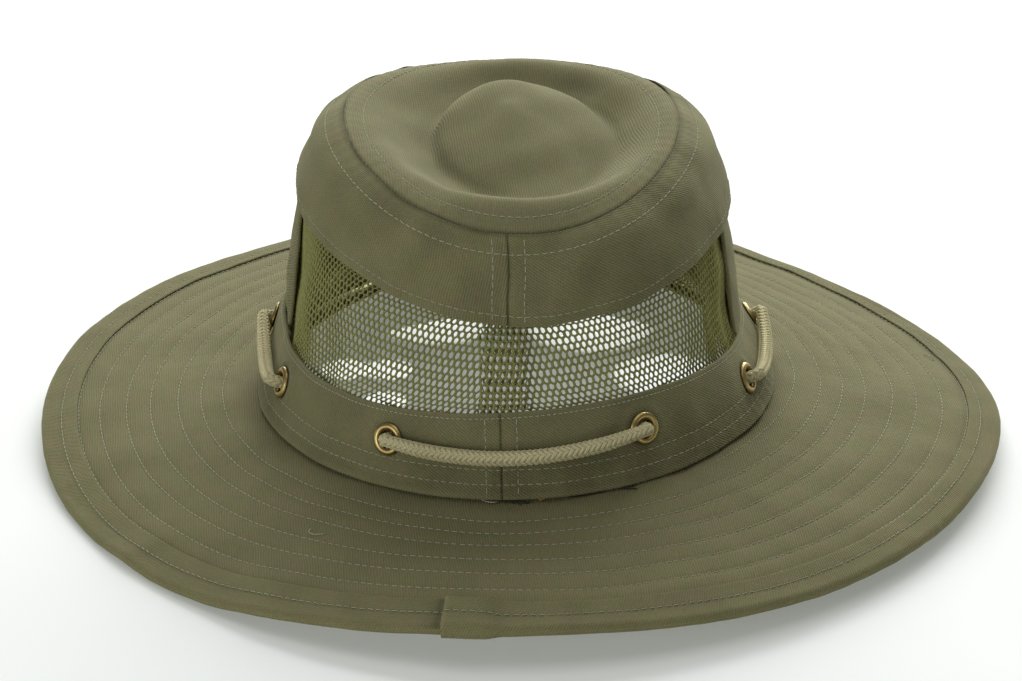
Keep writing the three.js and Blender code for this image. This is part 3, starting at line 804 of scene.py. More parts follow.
@dataclass
class CrownTip:
    """The dished top of the crown: a raised rim, a groove all round and a low dome, highest in front.

    Attributes:
        top_stitch: mm from the seam at its rim to the topstitch.
        columns, rows: points round the grid and from the rim to the middle.
        sheet: its outer side, once it is built.
    """

    top_stitch: float = 7.0
    columns: int = 400
    rows: int = 64
    sheet: Sheet = field(init=False)

    def build(self) -> Surface:
        """The tip with its topstitch furrow, creases and soft waves, closed by fans at its middle."""
        degrees = np.linspace(BACK, BACK + 360.0, self.columns, endpoint=False)
        skin = Skin.of(TIP, falling=True)
        v = 0.985 * np.linspace(0.0, 1.0, self.rows) ** 1.1 + 0.006
        plain = Sheet.over(skin, degrees, v, 0.5)
        along = plain.along[None, :-1] * 2.0
        fade = ease(plain.low, 0.0, 12.0)
        front = bell(turn_from(degrees, 90.0), 60.0)[None, :]
        fold = 1.5 * bell(v - 0.54, 0.08)
        dip = 1.1 * bell(v - 0.36, 0.12)
        height = (sewn(plain.low, (self.top_stitch,)) - 0.4 * bell(plain.low, 0.6)
                  + (fold - dip)[:, None] * front
                  + gathers(along, plain.low, 3.5, 4.5, 6.7, 0.07)
                  + fade * (0.30 * ripple(plain.points, 34.0, 31) + 0.06 * ripple(plain.points, 13.0, 32)))
        self.sheet = plain.raised(height)
        outer = self.sheet.points
        inner = (outer - plain.normals * WALL)[::3]
        start = edge_roll(outer[0], inner[0], outer[1])[::-1]
        points = np.concatenate([inner[::-1], start, outer])
        weave = self.sheet.plan_weave()
        weave = np.concatenate([weave[::3][::-1], np.repeat(weave[:1], len(start), axis=0), weave])
        # A pale rubbed strip and random fading; the dark rim and its dark rolled edge are painted shade in
        # the seam, and the darker ring about 30 mm in is painted shade in the groove.
        wear_and_shade = (0.2 * bell(plain.low - 2.0, 1.2) - 1.5 * bell(plain.low, 0.8)
                + 0.18 * clouds(plain.points, 24.0, 33) - 0.3 * bell(plain.low - 30.0, 9.0))
        wear_and_shade = np.concatenate([0.3 * wear_and_shade[::3][::-1], np.full((len(start), self.columns), -1.6), wear_and_shade])
        surface = grid_surface(points, weave, wear_and_shade, False, True)
        close_ends(surface, len(points), self.columns, plan=True)
        return surface

    def stitches(self, thread: Stitches) -> list[Surface]:
        """The topstitch beside the seam."""
        return [thread.along(*self.sheet.row(self.top_stitch), seed=34)]


@dataclass(frozen=True)
class EyeletPlace:
    """Where an eyelet sits: its direction in degrees and its height up the lower band, from 0 to 1."""

    degrees: float
    level: float


EYELETS = (EyeletPlace(-21.0, 0.54), EyeletPlace(11.0, 0.62), EyeletPlace(58.5, 0.62),
           EyeletPlace(118.0, 0.62), EyeletPlace(175.0, 0.62), EyeletPlace(204.0, 0.58),
           EyeletPlace(242.8, 0.60), EyeletPlace(301.5, 0.60))


def cord_pull(degrees: Array) -> Array:
    """How far the taut cord draws the lower band in at the hat's two sides, in mm: a bell round each."""
    return 1.7 * sum(bell(turn_from(degrees, side), 11.0) for side in (-5.0, 189.5))


@dataclass(frozen=True)
class Seat:
    """Places in the middle of the lower band's wall, with their own three directions.

    Attributes:
        centre: (..., 3) in mm.
        normal: outward.
        along: to the right, seen from outside.
        up: up the band.
    """

    centre: Array
    normal: Array
    along: Array
    up: Array

    @staticmethod
    def at(degrees: Array, level: Array) -> "Seat":
        """The seat at degrees and level: half a wall in from the band's outer skin."""
        skin = Skin.of(LOWER_BAND)
        degrees = np.asarray(degrees, float)
        normal = skin.outward(degrees, level)
        along = unit(skin.point(degrees + 1.0, level) - skin.point(degrees - 1.0, level))
        return Seat(skin.point(degrees, level) - normal * WALL / 2.0, normal, along, np.cross(normal, along))


@dataclass
class LowerBand:
    """The twill band above the brim, with holes for the eyelets and a foot that flares over the brim.

    Attributes:
        seam: the seam's direction in degrees.
        foot_stitches: mm from the foot to its two rows of stitches.
        top_stitch: mm from the top edge to its stitches.
        seam_stitch: mm from the back seam to the stitches on each side.
        hole_radius: the radius in mm within which no quad of the cloth may reach.
        columns, rows: points round the grid and up it.
        sheet: its outer side, once it is built.
    """

    seam: float = -91.1
    foot_stitches: tuple[float, float] = (5.0, 10.0)
    top_stitch: float = 1.8
    seam_stitch: float = 5.2
    hole_radius: float = 3.7
    columns: int = 560
    rows: int = 32
    sheet: Sheet = field(init=False)

    def build(self) -> Surface:
        """The band with its seam, furrows, puckers, dents round the eyelets and soft waves."""
        seams = (self.seam, self.seam + 360.0)
        degrees = clustered(*seams, self.columns, seams, width=2.0, gain=3.0)
        plain = Sheet.over(Skin.of(LOWER_BAND), degrees, np.linspace(0.024, 0.976, self.rows), 0.7)
        beside = plain.beside(self.seam)
        along = plain.along[None, :-1]
        seats = Seat.at(np.array([e.degrees for e in EYELETS]), np.array([e.level for e in EYELETS]))
        away = np.linalg.norm(plain.points[:, :, None] - seats.centre, axis=-1).min(axis=-1)
        calm = ease(away, 5.0, 13.0)
        soft = 0.30 * ripple(plain.points, 28.0, 41) + 0.05 * ripple(plain.points, 9.0, 42)
        height = (pressed_seam(beside, 5.0)
                  + sewn(plain.low, self.foot_stitches) + sewn(plain.high, (self.top_stitch,), 0.2, 0.5)
                  + sewn(np.abs(beside), (self.seam_stitch,), 0.2, 0.5)
                  + gathers(along, plain.low, 4.0, 4.0, 6.3, 0.10) + calm * soft
                  + 0.4 * bell(away - 7.2, 1.5) - 0.15 * (1.0 - ease(away, 4.5, 6.5))
                  - cord_pull(degrees)[None, :] * bell(plain.low - 18.5, 10.0))
        self.sheet = plain.raised(height)
        middle = plain.points - plain.normals * WALL / 2.0
        from_hole = np.linalg.norm(middle[:, :, None] - seats.centre, axis=-1).min(axis=-1)
        hole = wrapped(from_hole < self.hole_radius, False, True)
        cut = hole[:-1, :-1] | hole[1:, :-1] | hole[:-1, 1:] | hole[1:, 1:]
        inner = self.sheet.points - plain.normals * WALL
        # Pale rubbed edges and random fading; the dark line down the back seam, the darker band just above
        # the foot and the darker ring round each eyelet's flange are painted shade.
        wear_and_shade = (0.5 * bell(plain.low, 0.8) + 0.4 * bell(plain.high, 0.8) - 0.7 * bell(beside, 0.6)
                - 0.5 * bell(plain.low - 3.0, 1.5) - 0.35 * bell(away - 6.0, 1.4)
                + 0.25 * clouds(plain.points, 20.0, 43))
        return cloth_ring(self.sheet.points, inner, self.sheet.strip_weave(), wear_and_shade, True, cut=cut)

    def stitches(self, thread: Stitches) -> list[Surface]:
        """Two rows above the foot, a close row under the top edge and those beside the back seam."""
        close = Stitches(pitch=1.9, share=0.78)
        return [*(thread.along(*self.sheet.row(distance), seed=44 + i)
                  for i, distance in enumerate(self.foot_stitches)),
                close.along(*self.sheet.row(self.top_stitch, True), seed=46),
                thread.along(*self.sheet.rise(self.seam, self.seam_stitch), False, 47),
                thread.along(*self.sheet.rise(self.seam, -self.seam_stitch), False, 48)]


@dataclass
class NetBand:
    """The knitted net between the two twill bands: hexagonal cells cut from one leaning lattice.

    Attributes:
        start: where its inner end lies, in degrees; it runs counter-clockwise.
        end: where its outer end lies, over the start.
        pitch: mm from one hole to the next along a row.
        row_pitch: mm from one row of holes to the next.
        opening: the share of a cell that its hole takes, along the row and across it.
        thickness: the yarn's thickness in mm.
        lean: how far the holes lean at the two ends, as a slope.
        tab_room: how much further in it lies behind the side tabs, in mm.
        turn: degrees along the strip, from a little before it to a little past it.
        reach: mm along the strip at those degrees, at its mid-height.
    """

    start: float = -96.0
    end: float = 275.7
    pitch: float = 2.2
    row_pitch: float = 2.15
    opening: tuple[float, float] = (0.56, 0.70)
    thickness: float = 0.9
    lean: tuple[float, float] = (-0.35, 0.45)
    tab_room: float = 1.8
    turn: Array = field(init=False)
    reach: Array = field(init=False)

    def __post_init__(self) -> None:
        """Measures the strip."""
        self.turn = np.linspace(self.start - 12.0, self.end + 12.0, 1600)
        self.reach = travelled(self.skin().point(self.turn, np.full(len(self.turn), 0.5)))

    def skin(self) -> Skin:
        """The net's skin: the plain one, less some room behind the side tabs."""
        plain = Skin.of(NET)

        def point(degrees: Array, at: Array) -> Array:
            """The plain place, moved inwards by the room near each side."""
            from_side = np.abs(turn_from(2.0 * np.asarray(degrees), 0.0)) / 2.0
            room = self.tab_room * (1.0 - ease(from_side, 12.0, 24.0))
            return plain.point(degrees, at) - plain.outward(degrees, at) * room[..., None]

        return Skin(point)

    def build(self) -> Surface:
        """The lattice as a closed mesh.

        Lattice points lie on zigzag lines, half a pitch apart, a sixth of a row up or down by turns. Each
        cell has six of them, paired across the yarn, and a hole rim of six points at mid-thickness.
        """
        half = self.pitch / 2.0
        columns = int(self.reach[-1] / half)
        rows = int(58.0 / self.row_pitch)
        level = np.arange(rows + 1)
        column = np.arange(columns)
        zigzag = np.where((column[None, :] + level[:, None]) % 2 == 0, -1.0, 1.0) * self.row_pitch / 6.0
        random = np.random.default_rng(51)
        flat = np.stack([np.broadcast_to(column * half, zigzag.shape),
                         (level[:, None] - (rows + 1) / 2.0) * self.row_pitch + zigzag], axis=-1)
        flat = flat + random.normal(0.0, 0.10, flat.shape)
        flat[..., 0] += 0.5 * np.sin(flat[..., 0] / 17.0) * np.sin(flat[..., 1] / 7.0)
        row, centre_column = np.nonzero((column[None, 1:-1] + level[:-1, None]) % 2 == 0)
        centre_column = centre_column + 1
        corner_columns = centre_column[:, None] + np.array([0, 1, 1, 0, -1, -1])
        corner_levels = row[:, None] + np.array([0, 0, 1, 1, 1, 0])
        corners = corner_levels * columns + corner_columns
        frame_flat = flat.reshape(-1, 2)
        centre = frame_flat[corners].mean(axis=1)
        spokes = frame_flat[corners] - centre[:, None]
        size = 1.0 + 0.08 * np.where(row % 2 == 0, 1.0, -1.0)[:, None, None]
        rim_flat = centre[:, None] + spokes * size * np.array(self.opening)
        first, last = self.ends()
        along = self.along_strip(centre)
        at = self.share_up(centre)
        kept = (along > first) & (along < last) & (at > 0.01) & (at < 0.99)
        corners, rim_flat = corners[kept], rim_flat[kept]
        used = np.unique(corners)
        number = np.zeros(len(frame_flat), int)
        number[used] = np.arange(len(used))
        corners = number[corners]
        frame_flat = frame_flat[used]
        rim_count = len(rim_flat) * 6
        rims = np.arange(rim_count).reshape(-1, 6) + 2 * len(used)
        all_flat = np.concatenate([frame_flat, frame_flat, rim_flat.reshape(-1, 2)])
        depth = np.concatenate([np.full(len(used), 0.5), np.full(len(used), -0.5), np.zeros(rim_count)])
        places, normals = self.placed(all_flat)
        points = places + normals * ((depth - 0.5) * self.thickness)[:, None]
        following = np.roll(corners, -1, axis=1)
        next_rims = np.roll(rims, -1, axis=1)
        back = len(used)
        outer = np.stack([corners, following, next_rims, rims], axis=-1).reshape(-1, 4)
        inner = np.stack([following + back, corners + back, rims, next_rims], axis=-1).reshape(-1, 4)
        a, b = outer[:, 0], outer[:, 1]
        lonely = ~np.isin(a * back + b, b * back + a)
        walls = np.stack([b[lonely], a[lonely], a[lonely] + back, b[lonely] + back], axis=-1)
        faces = np.concatenate([outer, inner, walls])
        return Surface(points, [faces], all_flat, [faces], np.zeros(len(points)))

    def ends(self) -> Array:
        """mm along the strip of its two ends."""
        return np.interp([self.start, self.end], self.turn, self.reach)

    def along_strip(self, flat: Array) -> Array:
        """mm along the strip of flat places: x + lean y, the lean running evenly from end to end."""
        first, last = self.ends()
        lean = mix(self.lean[0], self.lean[1], np.clip((flat[:, 0] - first) / (last - first), 0.0, 1.0))
        return flat[:, 0] + lean * flat[:, 1]

    def share_up(self, flat: Array) -> Array:
        """How far up the net a flat place lies, from 0 to 1, by the real lengths of its three parts.

        They lie behind the lower band, between the bands and behind the upper band.
        """
        along = self.along_strip(flat)
        lines = np.stack([self.skin().point(self.turn, np.full(len(self.turn), stop))
                          for stop in (0.0, 0.17, 0.83, 1.0)])
        lengths = np.linalg.norm(np.diff(lines, axis=0), axis=-1)
        low, middle, high = (np.interp(along, self.reach, part) for part in lengths)
        up = flat[:, 1]
        inside = 0.5 + up / middle * 0.66
        over = 0.83 + (up - middle / 2.0) / high * 0.17
        under = 0.17 + (up + middle / 2.0) / low * 0.17
        return np.where(up > middle / 2.0, over, np.where(up < -middle / 2.0, under, inside))

    def placed(self, flat: Array) -> tuple[Array, Array]:
        """Flat places laid on the net's skin, the start tucked in behind the end.

        Args:
            flat: (P, 2) places on the strip in mm.

        Returns:
            (P, 3) places and outward directions.
        """
        skin = self.skin()
        degrees = np.interp(self.along_strip(flat), self.reach, self.turn)
        at = np.clip(self.share_up(flat), 0.0, 1.0)
        normals = skin.outward(degrees, at)
        tuck = 1.0 * (1.0 - ease(degrees, self.start + 13.0, self.start + 18.0))
        wave = 0.45 * ripple(skin.point(degrees, at), 24.0, 52)
        return skin.point(degrees, at) + normals * (wave - tuck)[:, None], normals


@dataclass
class SideTab:
    """A folded twill strap over the net at one side, tucked behind both bands.

    Attributes:
        side: its direction in degrees.
        half_angle: half of its width, in degrees round the hat.
        bulge: how far it stands out at its middle, in mm.
        edge_lift: the share of the bulge that its two edges stand out.
        sink: how far inside the net's skin it lies where it doesn't stand out, in mm.
        thickness: the folded cloth's thickness in mm.
        rows, across: points up the grid and across its outer side.
    """

    side: float
    half_angle: float = 10.0
    bulge: float = 2.4
    edge_lift: float = 0.3
    sink: float = 0.15
    thickness: float = 1.3
    rows: int = 48
    across: int = 26

    def build(self) -> Surface:
        """A flattened tube: its outer side, a folded edge, its inner side and the other folded edge."""
        skin = Skin.of(NET)
        # Heights up the net, and the share of the bulge that the strap stands out there.
        stops = np.array([0.04, 0.16, 0.26, 0.42, 0.62, 0.81, 0.95])
        stands = np.array([0.0, 0.0, 0.75, 1.0, 0.6, 0.0, 0.0])
        at = np.linspace(stops[0], stops[-1], self.rows)
        fine = np.linspace(stops[0], stops[-1], 200)
        kernel = np.exp(-np.square(np.linspace(-2.0, 2.0, 31)))
        padded = np.pad(np.interp(fine, stops, stands), 15, mode="edge")
        stand = np.interp(at, fine, np.convolve(padded, kernel / kernel.sum(), mode="valid"))
        w = np.linspace(-0.97, 0.97, self.across)
        degrees = self.side + w * self.half_angle
        normals = skin.outward(degrees, np.full(len(w), 0.5))
        lift = mix(self.edge_lift, 1.0, 1.0 - w * w) * self.bulge
        outer = (skin.point(degrees[None, :], at[:, None])
                 + normals * (stand[:, None] * lift - self.sink)[..., None])
        edge = 1.0 + 0.5 * bell(np.abs(w) - 0.93, 0.09)
        outer = outer + normals * (0.25 * (edge - 1.0))[:, None]
        outer = outer + normals * (0.12 * ripple(outer, 11.0, 61))[..., None]
        inner = outer - normals * (self.thickness * mix(1.0, edge, 0.4))[:, None]
        outer, inner = np.swapaxes(outer, 0, 1), np.swapaxes(inner, 0, 1)
        right = edge_roll(outer[-1], inner[-1], outer[-2])
        left = edge_roll(outer[0], inner[0], outer[1])[::-1]
        ring = np.swapaxes(np.concatenate([outer, right, inner[::-1], left]), 0, 1)
        middle = ring[self.rows // 2]
        around = travelled(np.concatenate([middle, middle[:1]]))
        weave = np.stack(np.broadcast_arrays(around[None, :], travelled(ring[:, 0])[:, None]), axis=-1)
        fold = np.ones(len(EDGE_TURNS))
        position = np.concatenate([np.abs(w), fold, np.abs(w)[::-1], fold])
        # Pale rubbed folds, and a strip of painted shade just inside each folded edge.
        tone_bands = 0.5 * bell(position - 1.0, 0.05) - 0.5 * bell(position - 0.82, 0.06)
        surface = grid_surface(ring, weave, np.broadcast_to(tone_bands, ring.shape[:2]), False, True)
        close_ends(surface, self.rows, ring.shape[1])
        return surface


@dataclass(frozen=True)
class Wave:
    """One wave of the brim's edge: so many to the turn, with its cosine and sine heights in mm."""

    turns: int
    cosine: float
    sine: float


@dataclass
class Brim:
    """The wide brim: two layers of twill, stitched together in rows parallel to its edge.

    Attributes:
        edge: the edge's half width, half length, middle x and y, and height, in mm.
        edge_power: the exponent of its superellipse; 2 is a true ellipse.
        waves: the edge's waves.
        thickness: both layers' thickness in mm.
        floor_room: the least height of its middle over the floor in mm.
        stitch_rows: mm from the edge to each row of stitches.
        short_row: mm from the edge to a row that runs along the right side alone.
        edge_inset: mm from the edge, inside the binding, to the first row of the grid.
        back_lift: how much higher the cloth stands inside the binding at the back, in mm.
        tuck: how far inwards it goes under the lower band, as a share of the brim's width.
        columns, rows: points round the grid and across it.
        sheet: its top, once it is built.
    """

    edge: tuple[float, float, float, float, float] = (170.4, 182.1, 0.0, 0.6, 7.5)
    edge_power: float = 1.91
    waves: tuple[Wave, ...] = (Wave(1, -0.74, -0.42), Wave(2, -1.91, -3.65), Wave(3, -0.25, 1.12),
                               Wave(4, 2.28, -1.29))
    thickness: float = 2.0
    floor_room: float = 2.3
    stitch_rows: tuple[float, ...] = (21.0, 30.4, 39.0, 48.8, 57.0, 64.8)
    short_row: float = 74.3
    edge_inset: float = 1.6
    back_lift: float = 2.0
    tuck: float = 1.045
    columns: int = 540
    rows: int = 84
    sheet: Sheet = field(init=False)

    def width(self, degrees: Array) -> Array:
        """The level distance from the head opening to the edge, in mm."""
        span = self.edge_point(degrees) - BRIM_OPENING.point(degrees, np.zeros_like(degrees))
        return np.linalg.norm(span[..., :2], axis=-1)

    def edge_point(self, degrees: Array) -> Array:
        """The edge without its waves: a superellipse, |cos| and |sin| raised to 2 / power."""
        c = np.cos(np.radians(degrees))
        s = np.sin(np.radians(degrees))
        power = 2.0 / self.edge_power
        half_width, half_length, x, y, z = self.edge
        return np.stack([x + half_width * np.sign(c) * np.abs(c) ** power,
                         y + half_length * np.sign(s) * np.abs(s) ** power, np.full_like(c, z)], axis=-1)

    def middle(self, degrees: Array, out: Array) -> Array:
        """The brim's middle surface, from out = 0 at the opening to 1 at the edge.

        A straight line between the two, plus the waves times out^1.5, kept clear of the floor, plus the
        lift at the back, which starts inside the binding and dies out towards the crown.

        Args:
            degrees: directions.
            out: shares of the brim's width.

        Returns:
            Places in mm.
        """
        degrees, out = np.broadcast_arrays(np.asarray(degrees, float), np.asarray(out, float))
        opening = BRIM_OPENING.point(degrees, np.zeros_like(degrees))
        place = mix(opening, self.edge_point(degrees), out[..., None])
        turn = np.radians(degrees)
        rise = sum(wave.cosine * np.cos(wave.turns * turn) + wave.sine * np.sin(wave.turns * turn)
                   for wave in self.waves)
        height = np.maximum(place[..., 2] + rise * np.maximum(out, 0.0) ** 1.5, self.floor_room)
        inward = (1.0 - out) * self.width(degrees)
        back = bell(turn_from(degrees, BACK), 42.0)
        height = height + self.back_lift * back * ease(inward, 3.0, 18.0) * (1.0 - ease(inward, 30.0, 76.0))
        return np.concatenate([place[..., :2], height[..., None]], axis=-1)

    def skin(self) -> Skin:
        """The middle surface with v = 0 at the edge and 1 at the opening; its outside is the top."""
        return Skin(lambda degrees, v: self.middle(degrees, 1.0 - np.asarray(v)))

    def soft(self, points: Array) -> Array:
        """The cloth's soft unevenness in mm."""
        return 0.20 * ripple(points, 44.0, 71) + 0.04 * ripple(points, 13.0, 72)

    def build(self) -> Surface:
        """Both layers, with furrows at the stitches, puffs between them and small gathers across them."""
        degrees = np.linspace(BACK, BACK + 360.0, self.columns, endpoint=False)
        share = np.linspace(0.0, 1.0, self.rows)
        v = mix(self.edge_inset / self.width(degrees)[None, :], self.tuck, share[:, None])
        middle = Sheet.over(self.skin(), degrees, v, self.edge_inset)
        along = middle.along[None, :-1] * 1.3
        stops = (12.0, *self.stitch_rows, self.short_row)
        height = sewn(middle.low, self.stitch_rows)
        for low, high in zip(stops[:-1], stops[1:]):
            k = np.clip((middle.low - low) / (high - low), 0.0, 1.0)
            height = height + 0.30 * np.sin(math.pi * k)
        for i, row in enumerate(self.stitch_rows):
            height = height + gathers(along + 5.0 * i, middle.low, row, 2.6, 6.5 + 0.3 * i, 0.05)
        half = self.thickness / 2.0
        soft = self.soft(middle.points)
        self.sheet = middle.raised(half + height + soft)
        under = middle.points + middle.normals * (soft - half - 0.6 * height)[..., None]
        # Pale rubbed strips beside the rows and random fading; the darkening in the stitch furrows, along the
        # binding's inner edge and towards the crown's foot is painted shade.
        tone_bands = sum(bell(middle.low - row - 2.0, 1.6) for row in self.stitch_rows)
        furrows = sum(bell(middle.low - row, 0.9) for row in self.stitch_rows)
        wear_and_shade = (0.12 * clouds(middle.points, 30.0, 73) + 0.08 * tone_bands - 0.08 * furrows
                - 0.45 * bell(middle.high, 7.0) - 0.7 * bell(middle.low - 12.5, 1.2))
        return cloth_ring(self.sheet.points, under[::2], self.sheet.plan_weave(), wear_and_shade, True)

    def stitches(self, thread: Stitches) -> list[Surface]:
        """Each row on the top and on the underside."""
        rows: list[Surface] = []
        for i, distance in enumerate(self.stitch_rows):
            points, normals = self.sheet.row(distance)
            rows.append(thread.along(points, normals, seed=80 + i))
            # Less than a thickness below, because the underside has furrows too.
            below = points - normals * (self.thickness - 0.36)
            rows.append(thread.along(below[::-1], -normals[::-1], seed=100 + i))
        points, normals = self.sheet.row(self.short_row)
        from_right = turn_from(self.sheet.degrees, 8.0)
        kept = np.abs(from_right) < 52.0
        order = np.argsort(from_right[kept])
        rows.append(thread.along(points[kept][order], normals[kept][order], False, 120))
        return rows


@dataclass
class Binding:
    """One folded strip round the brim's edge, whose end laps over its start at the back.

    Attributes:
        brim: the brim that it binds.
        end: where its upper end lies, in degrees.
        run: how far round it goes from there, in degrees.
        lap: the degrees between which the lapped end sinks to the plain height.
        lap_lift: how much higher the lapped end lies, in mm.
        thickness: the cloth's thickness in mm.
        height: how far its two legs' middles lie above and below the brim's middle, in mm.
        shoulder: mm from the edge to where the fold ends and the legs begin.
        stitch: mm from the edge to its stitches.
        floor_gap: the least height of the cloth over the floor in mm, so that its stitches clear it.
        columns, leg_rows: points along the strip and across each leg.
        sheet: its outer side, once it is built.
    """

    brim: Brim
    end: float = -97.6
    run: float = 363.6
    lap: tuple[float, float] = (-93.0, -90.5)
    lap_lift: float = 1.1
    thickness: float = 0.9
    height: float = 1.55
    shoulder: float = 2.2
    stitch: float = 7.0
    floor_gap: float = 0.28
    columns: int = 620
    leg_rows: int = 12
    sheet: Sheet = field(init=False)

    def width(self, degrees: Array) -> Array:
        """The strip's folded width in mm, as worn: wider at the back than at the front."""
        turn = np.radians(degrees)
        return 11.6 - 0.6 * np.cos(turn) - 1.9 * np.sin(turn)

    def section(self) -> tuple[Array, Array, Array]:
        """The folded strip's middle line, from the inner end below, round the edge, to the inner end above.

        Returns:
            For each row: its share of the leg's reach inwards, its height and its (inward, up) normal.
        """
        leg = np.linspace(1.0, 0.0, self.leg_rows, endpoint=False)
        turn = np.radians(np.linspace(-90.0, 90.0, 11))
        inward = np.concatenate([leg, -np.cos(turn), leg[::-1]])
        rise = np.concatenate([np.full(len(leg), -1.0), np.sin(turn), np.full(len(leg), 1.0)])
        normal_in = np.concatenate([np.zeros(len(leg)), -np.cos(turn), np.zeros(len(leg))])
        return inward, rise, np.stack([normal_in, rise], axis=-1)

    def build(self) -> Surface:
        """The strip's two sides: the brim's middle, moved up or down and inwards by the section."""
        degrees = np.linspace(self.end, self.end + self.run, self.columns)
        share, rise, normal = self.section()
        reach = self.width(degrees)[None, :] - self.shoulder
        base = self.shoulder + np.where(share[:, None] > 0.0, share[:, None] * reach,
                                        share[:, None] * (self.shoulder - self.thickness / 2.0))
        lift = self.lap_lift * (1.0 - ease(degrees, *self.lap))[None, :]
        nose = np.clip(1.0 - base / self.shoulder, 0.0, 1.0)
        base = base - nose * lift
        skin = self.brim.skin()
        widths = self.brim.width(degrees)[None, :]
        place = skin.point(degrees[None, :], base / widths)
        up = skin.outward(degrees[None, :], np.maximum(base, 3.0) / widths)
        inward = unit(skin.point(degrees, 8.0 / widths[0]) - skin.point(degrees, 2.0 / widths[0]))[None]
        along = travelled(place[len(place) // 2])[None, :]
        soft = self.brim.soft(place)
        furrow = sewn(base, (self.stitch,), 0.2, 0.6) * (rise[:, None] > 0.5)
        pucker = gathers(along, base, self.stitch, 3.4, 4.6, 0.05) * (np.abs(rise[:, None]) > 0.5)
        centre = place + up * (rise[:, None] * (self.height + lift) + soft)[..., None]
        out = normal[:, None, :1] * inward + normal[:, None, 1:] * up
        bumps = furrow + pucker + 0.04 * ripple(place, 9.0, 131)
        outer = centre + out * (self.thickness / 2.0 + bumps)[..., None]
        outer[..., 2] = np.maximum(outer[..., 2], self.floor_gap)
        inner = centre - out * (self.thickness / 2.0 - bumps)[..., None]
        roll = 0.4
        low = travelled(outer) + roll
        self.sheet = Sheet(degrees, outer, out, low, low[-1] + roll - low, np.append(along[0], 0.0),
                           np.ones_like(low))
        weave = np.stack(np.broadcast_arrays(along, low), axis=-1)
        # A pale rubbed fold and random fading, with painted shade in the stitch furrow.
        wear_and_shade = (0.7 * bell(base, 1.8) * (rise[:, None] > -0.2) - 0.3 * bell(base - self.stitch, 0.9)
                + 0.14 * clouds(place, 16.0, 132))
        # The lapped end is rubbed pale, and the strip beside it lies in its shade.
        from_end = degrees - self.end
        shade = bell(from_end - 359.7, 0.3) + bell(from_end - 359.0, 0.9) * 0.3
        wear_and_shade = wear_and_shade + (0.8 * bell(from_end, 0.2) - 2.2 * shade)[None, :] * (rise[:, None] > 0.5)
        return cloth_ring(outer, inner, weave, wear_and_shade, False)

    def stitches(self, thread: Stitches) -> list[Surface]:
        """The row along the strip, and the row just inside its inner edge on the brim."""
        distance = self.width(self.sheet.degrees) - self.stitch
        top = self.sheet.row(distance, True)
        brim_degrees = self.brim.sheet.degrees
        inside = self.brim.sheet.row(self.width(brim_degrees) + 0.9)
        below = self.sheet.row(distance)
        return [thread.along(*top, False, 133), thread.along(*inside, seed=134),
                thread.along(below[0][::-1], below[1][::-1], False, 135)]


Course = tuple[tuple[float, float, float], ...]

DARK_FRAYS: tuple[Course, ...] = (
    ((-4.2, -104.6, 0.1), (-2.0, -107.4, 0.5), (0.6, -105.4, 0.9), (2.6, -107.6, 0.2)),
    ((-1.6, -105.2, 0.1), (0.8, -104.8, 0.8), (3.0, -107.8, 0.6), (5.4, -106.2, 0.1)),
    ((-6.8, -104.4, 0.1), (-4.0, -105.6, 0.7), (-2.4, -104.8, 0.4), (0.4, -106.4, 0.1)),
    ((32.6, -96.6, 0.1), (34.4, -98.6, 0.6), (36.8, -95.8, 0.8), (39.6, -95.6, 0.2)),
    ((34.8, -96.8, 0.1), (36.4, -97.6, 0.4), (38.2, -97.2, 0.5), (40.6, -96.8, 0.1)),
    ((18.0, -102.6, 0.1), (22.0, -103.4, 0.3), (26.0, -100.8, 0.3), (29.6, -99.6, 0.1)))
PALE_ENDS: tuple[Course, ...] = (
    ((-10.6, -103.8, 0.1), (-7.4, -108.6, 1.4), (-4.6, -107.4, 1.0), (-5.4, -104.4, 0.1)),
    ((-65.8, -116.6, 0.1), (-67.4, -119.4, 0.5), (-64.2, -121.6, 0.4), (-60.6, -120.4, 0.1)),
    ((147.6, 46.4, 0.1), (149.4, 44.8, 0.9), (149.2, 42.6, 0.8), (151.2, 41.2, 0.1)))
FLECK: tuple[Course, ...] = (
    ((8.6, -105.2, 0.0), (9.2, -104.8, 0.5), (10.4, -104.6, 0.7), (11.2, -103.8, 0.1)),)


@dataclass(frozen=True)
class LooseThreads:
    """Loose ends of thread, frayed yarn or a fleck of lint that lie on the brim.

    Attributes:
        brim: the brim they lie on.
        courses: for each one, four control places: x, y and the height over the cloth, in mm.
        radius: half of its thickness in mm.
    """

    brim: Brim
    courses: tuple[Course, ...]
    radius: float = 0.2

    def build(self) -> Surface:
        """A tube along each course, (1-t)^3 a + 3 t (1-t)^2 b + 3 t^2 (1-t) c + t^3 d, laid on the cloth."""
        t = np.linspace(0.0, 1.0, 17)[:, None]
        weights = np.concatenate([(1.0 - t) ** 3, 3.0 * t * (1.0 - t) ** 2, 3.0 * t * t * (1.0 - t), t ** 3],
                                 axis=1)
        cloth = self.brim.sheet.points.reshape(-1, 3)
        section = self.radius * circle(6)
        tubes: list[Surface] = []
        for course in self.courses:
            path = weights @ np.array(course)
            gaps = np.linalg.norm(cloth[:, None, :2] - path[None, :, :2], axis=-1)
            path[:, 2] += cloth[gaps.argmin(axis=0), 2] + self.radius
            tangent = unit(np.gradient(path, axis=0))
            side = unit(np.cross(np.array([0.0, 0.0, 1.0]), tangent))
            tubes.append(sweep(path, side, np.cross(tangent, side), section, False))
        return Surface.joined(tubes)


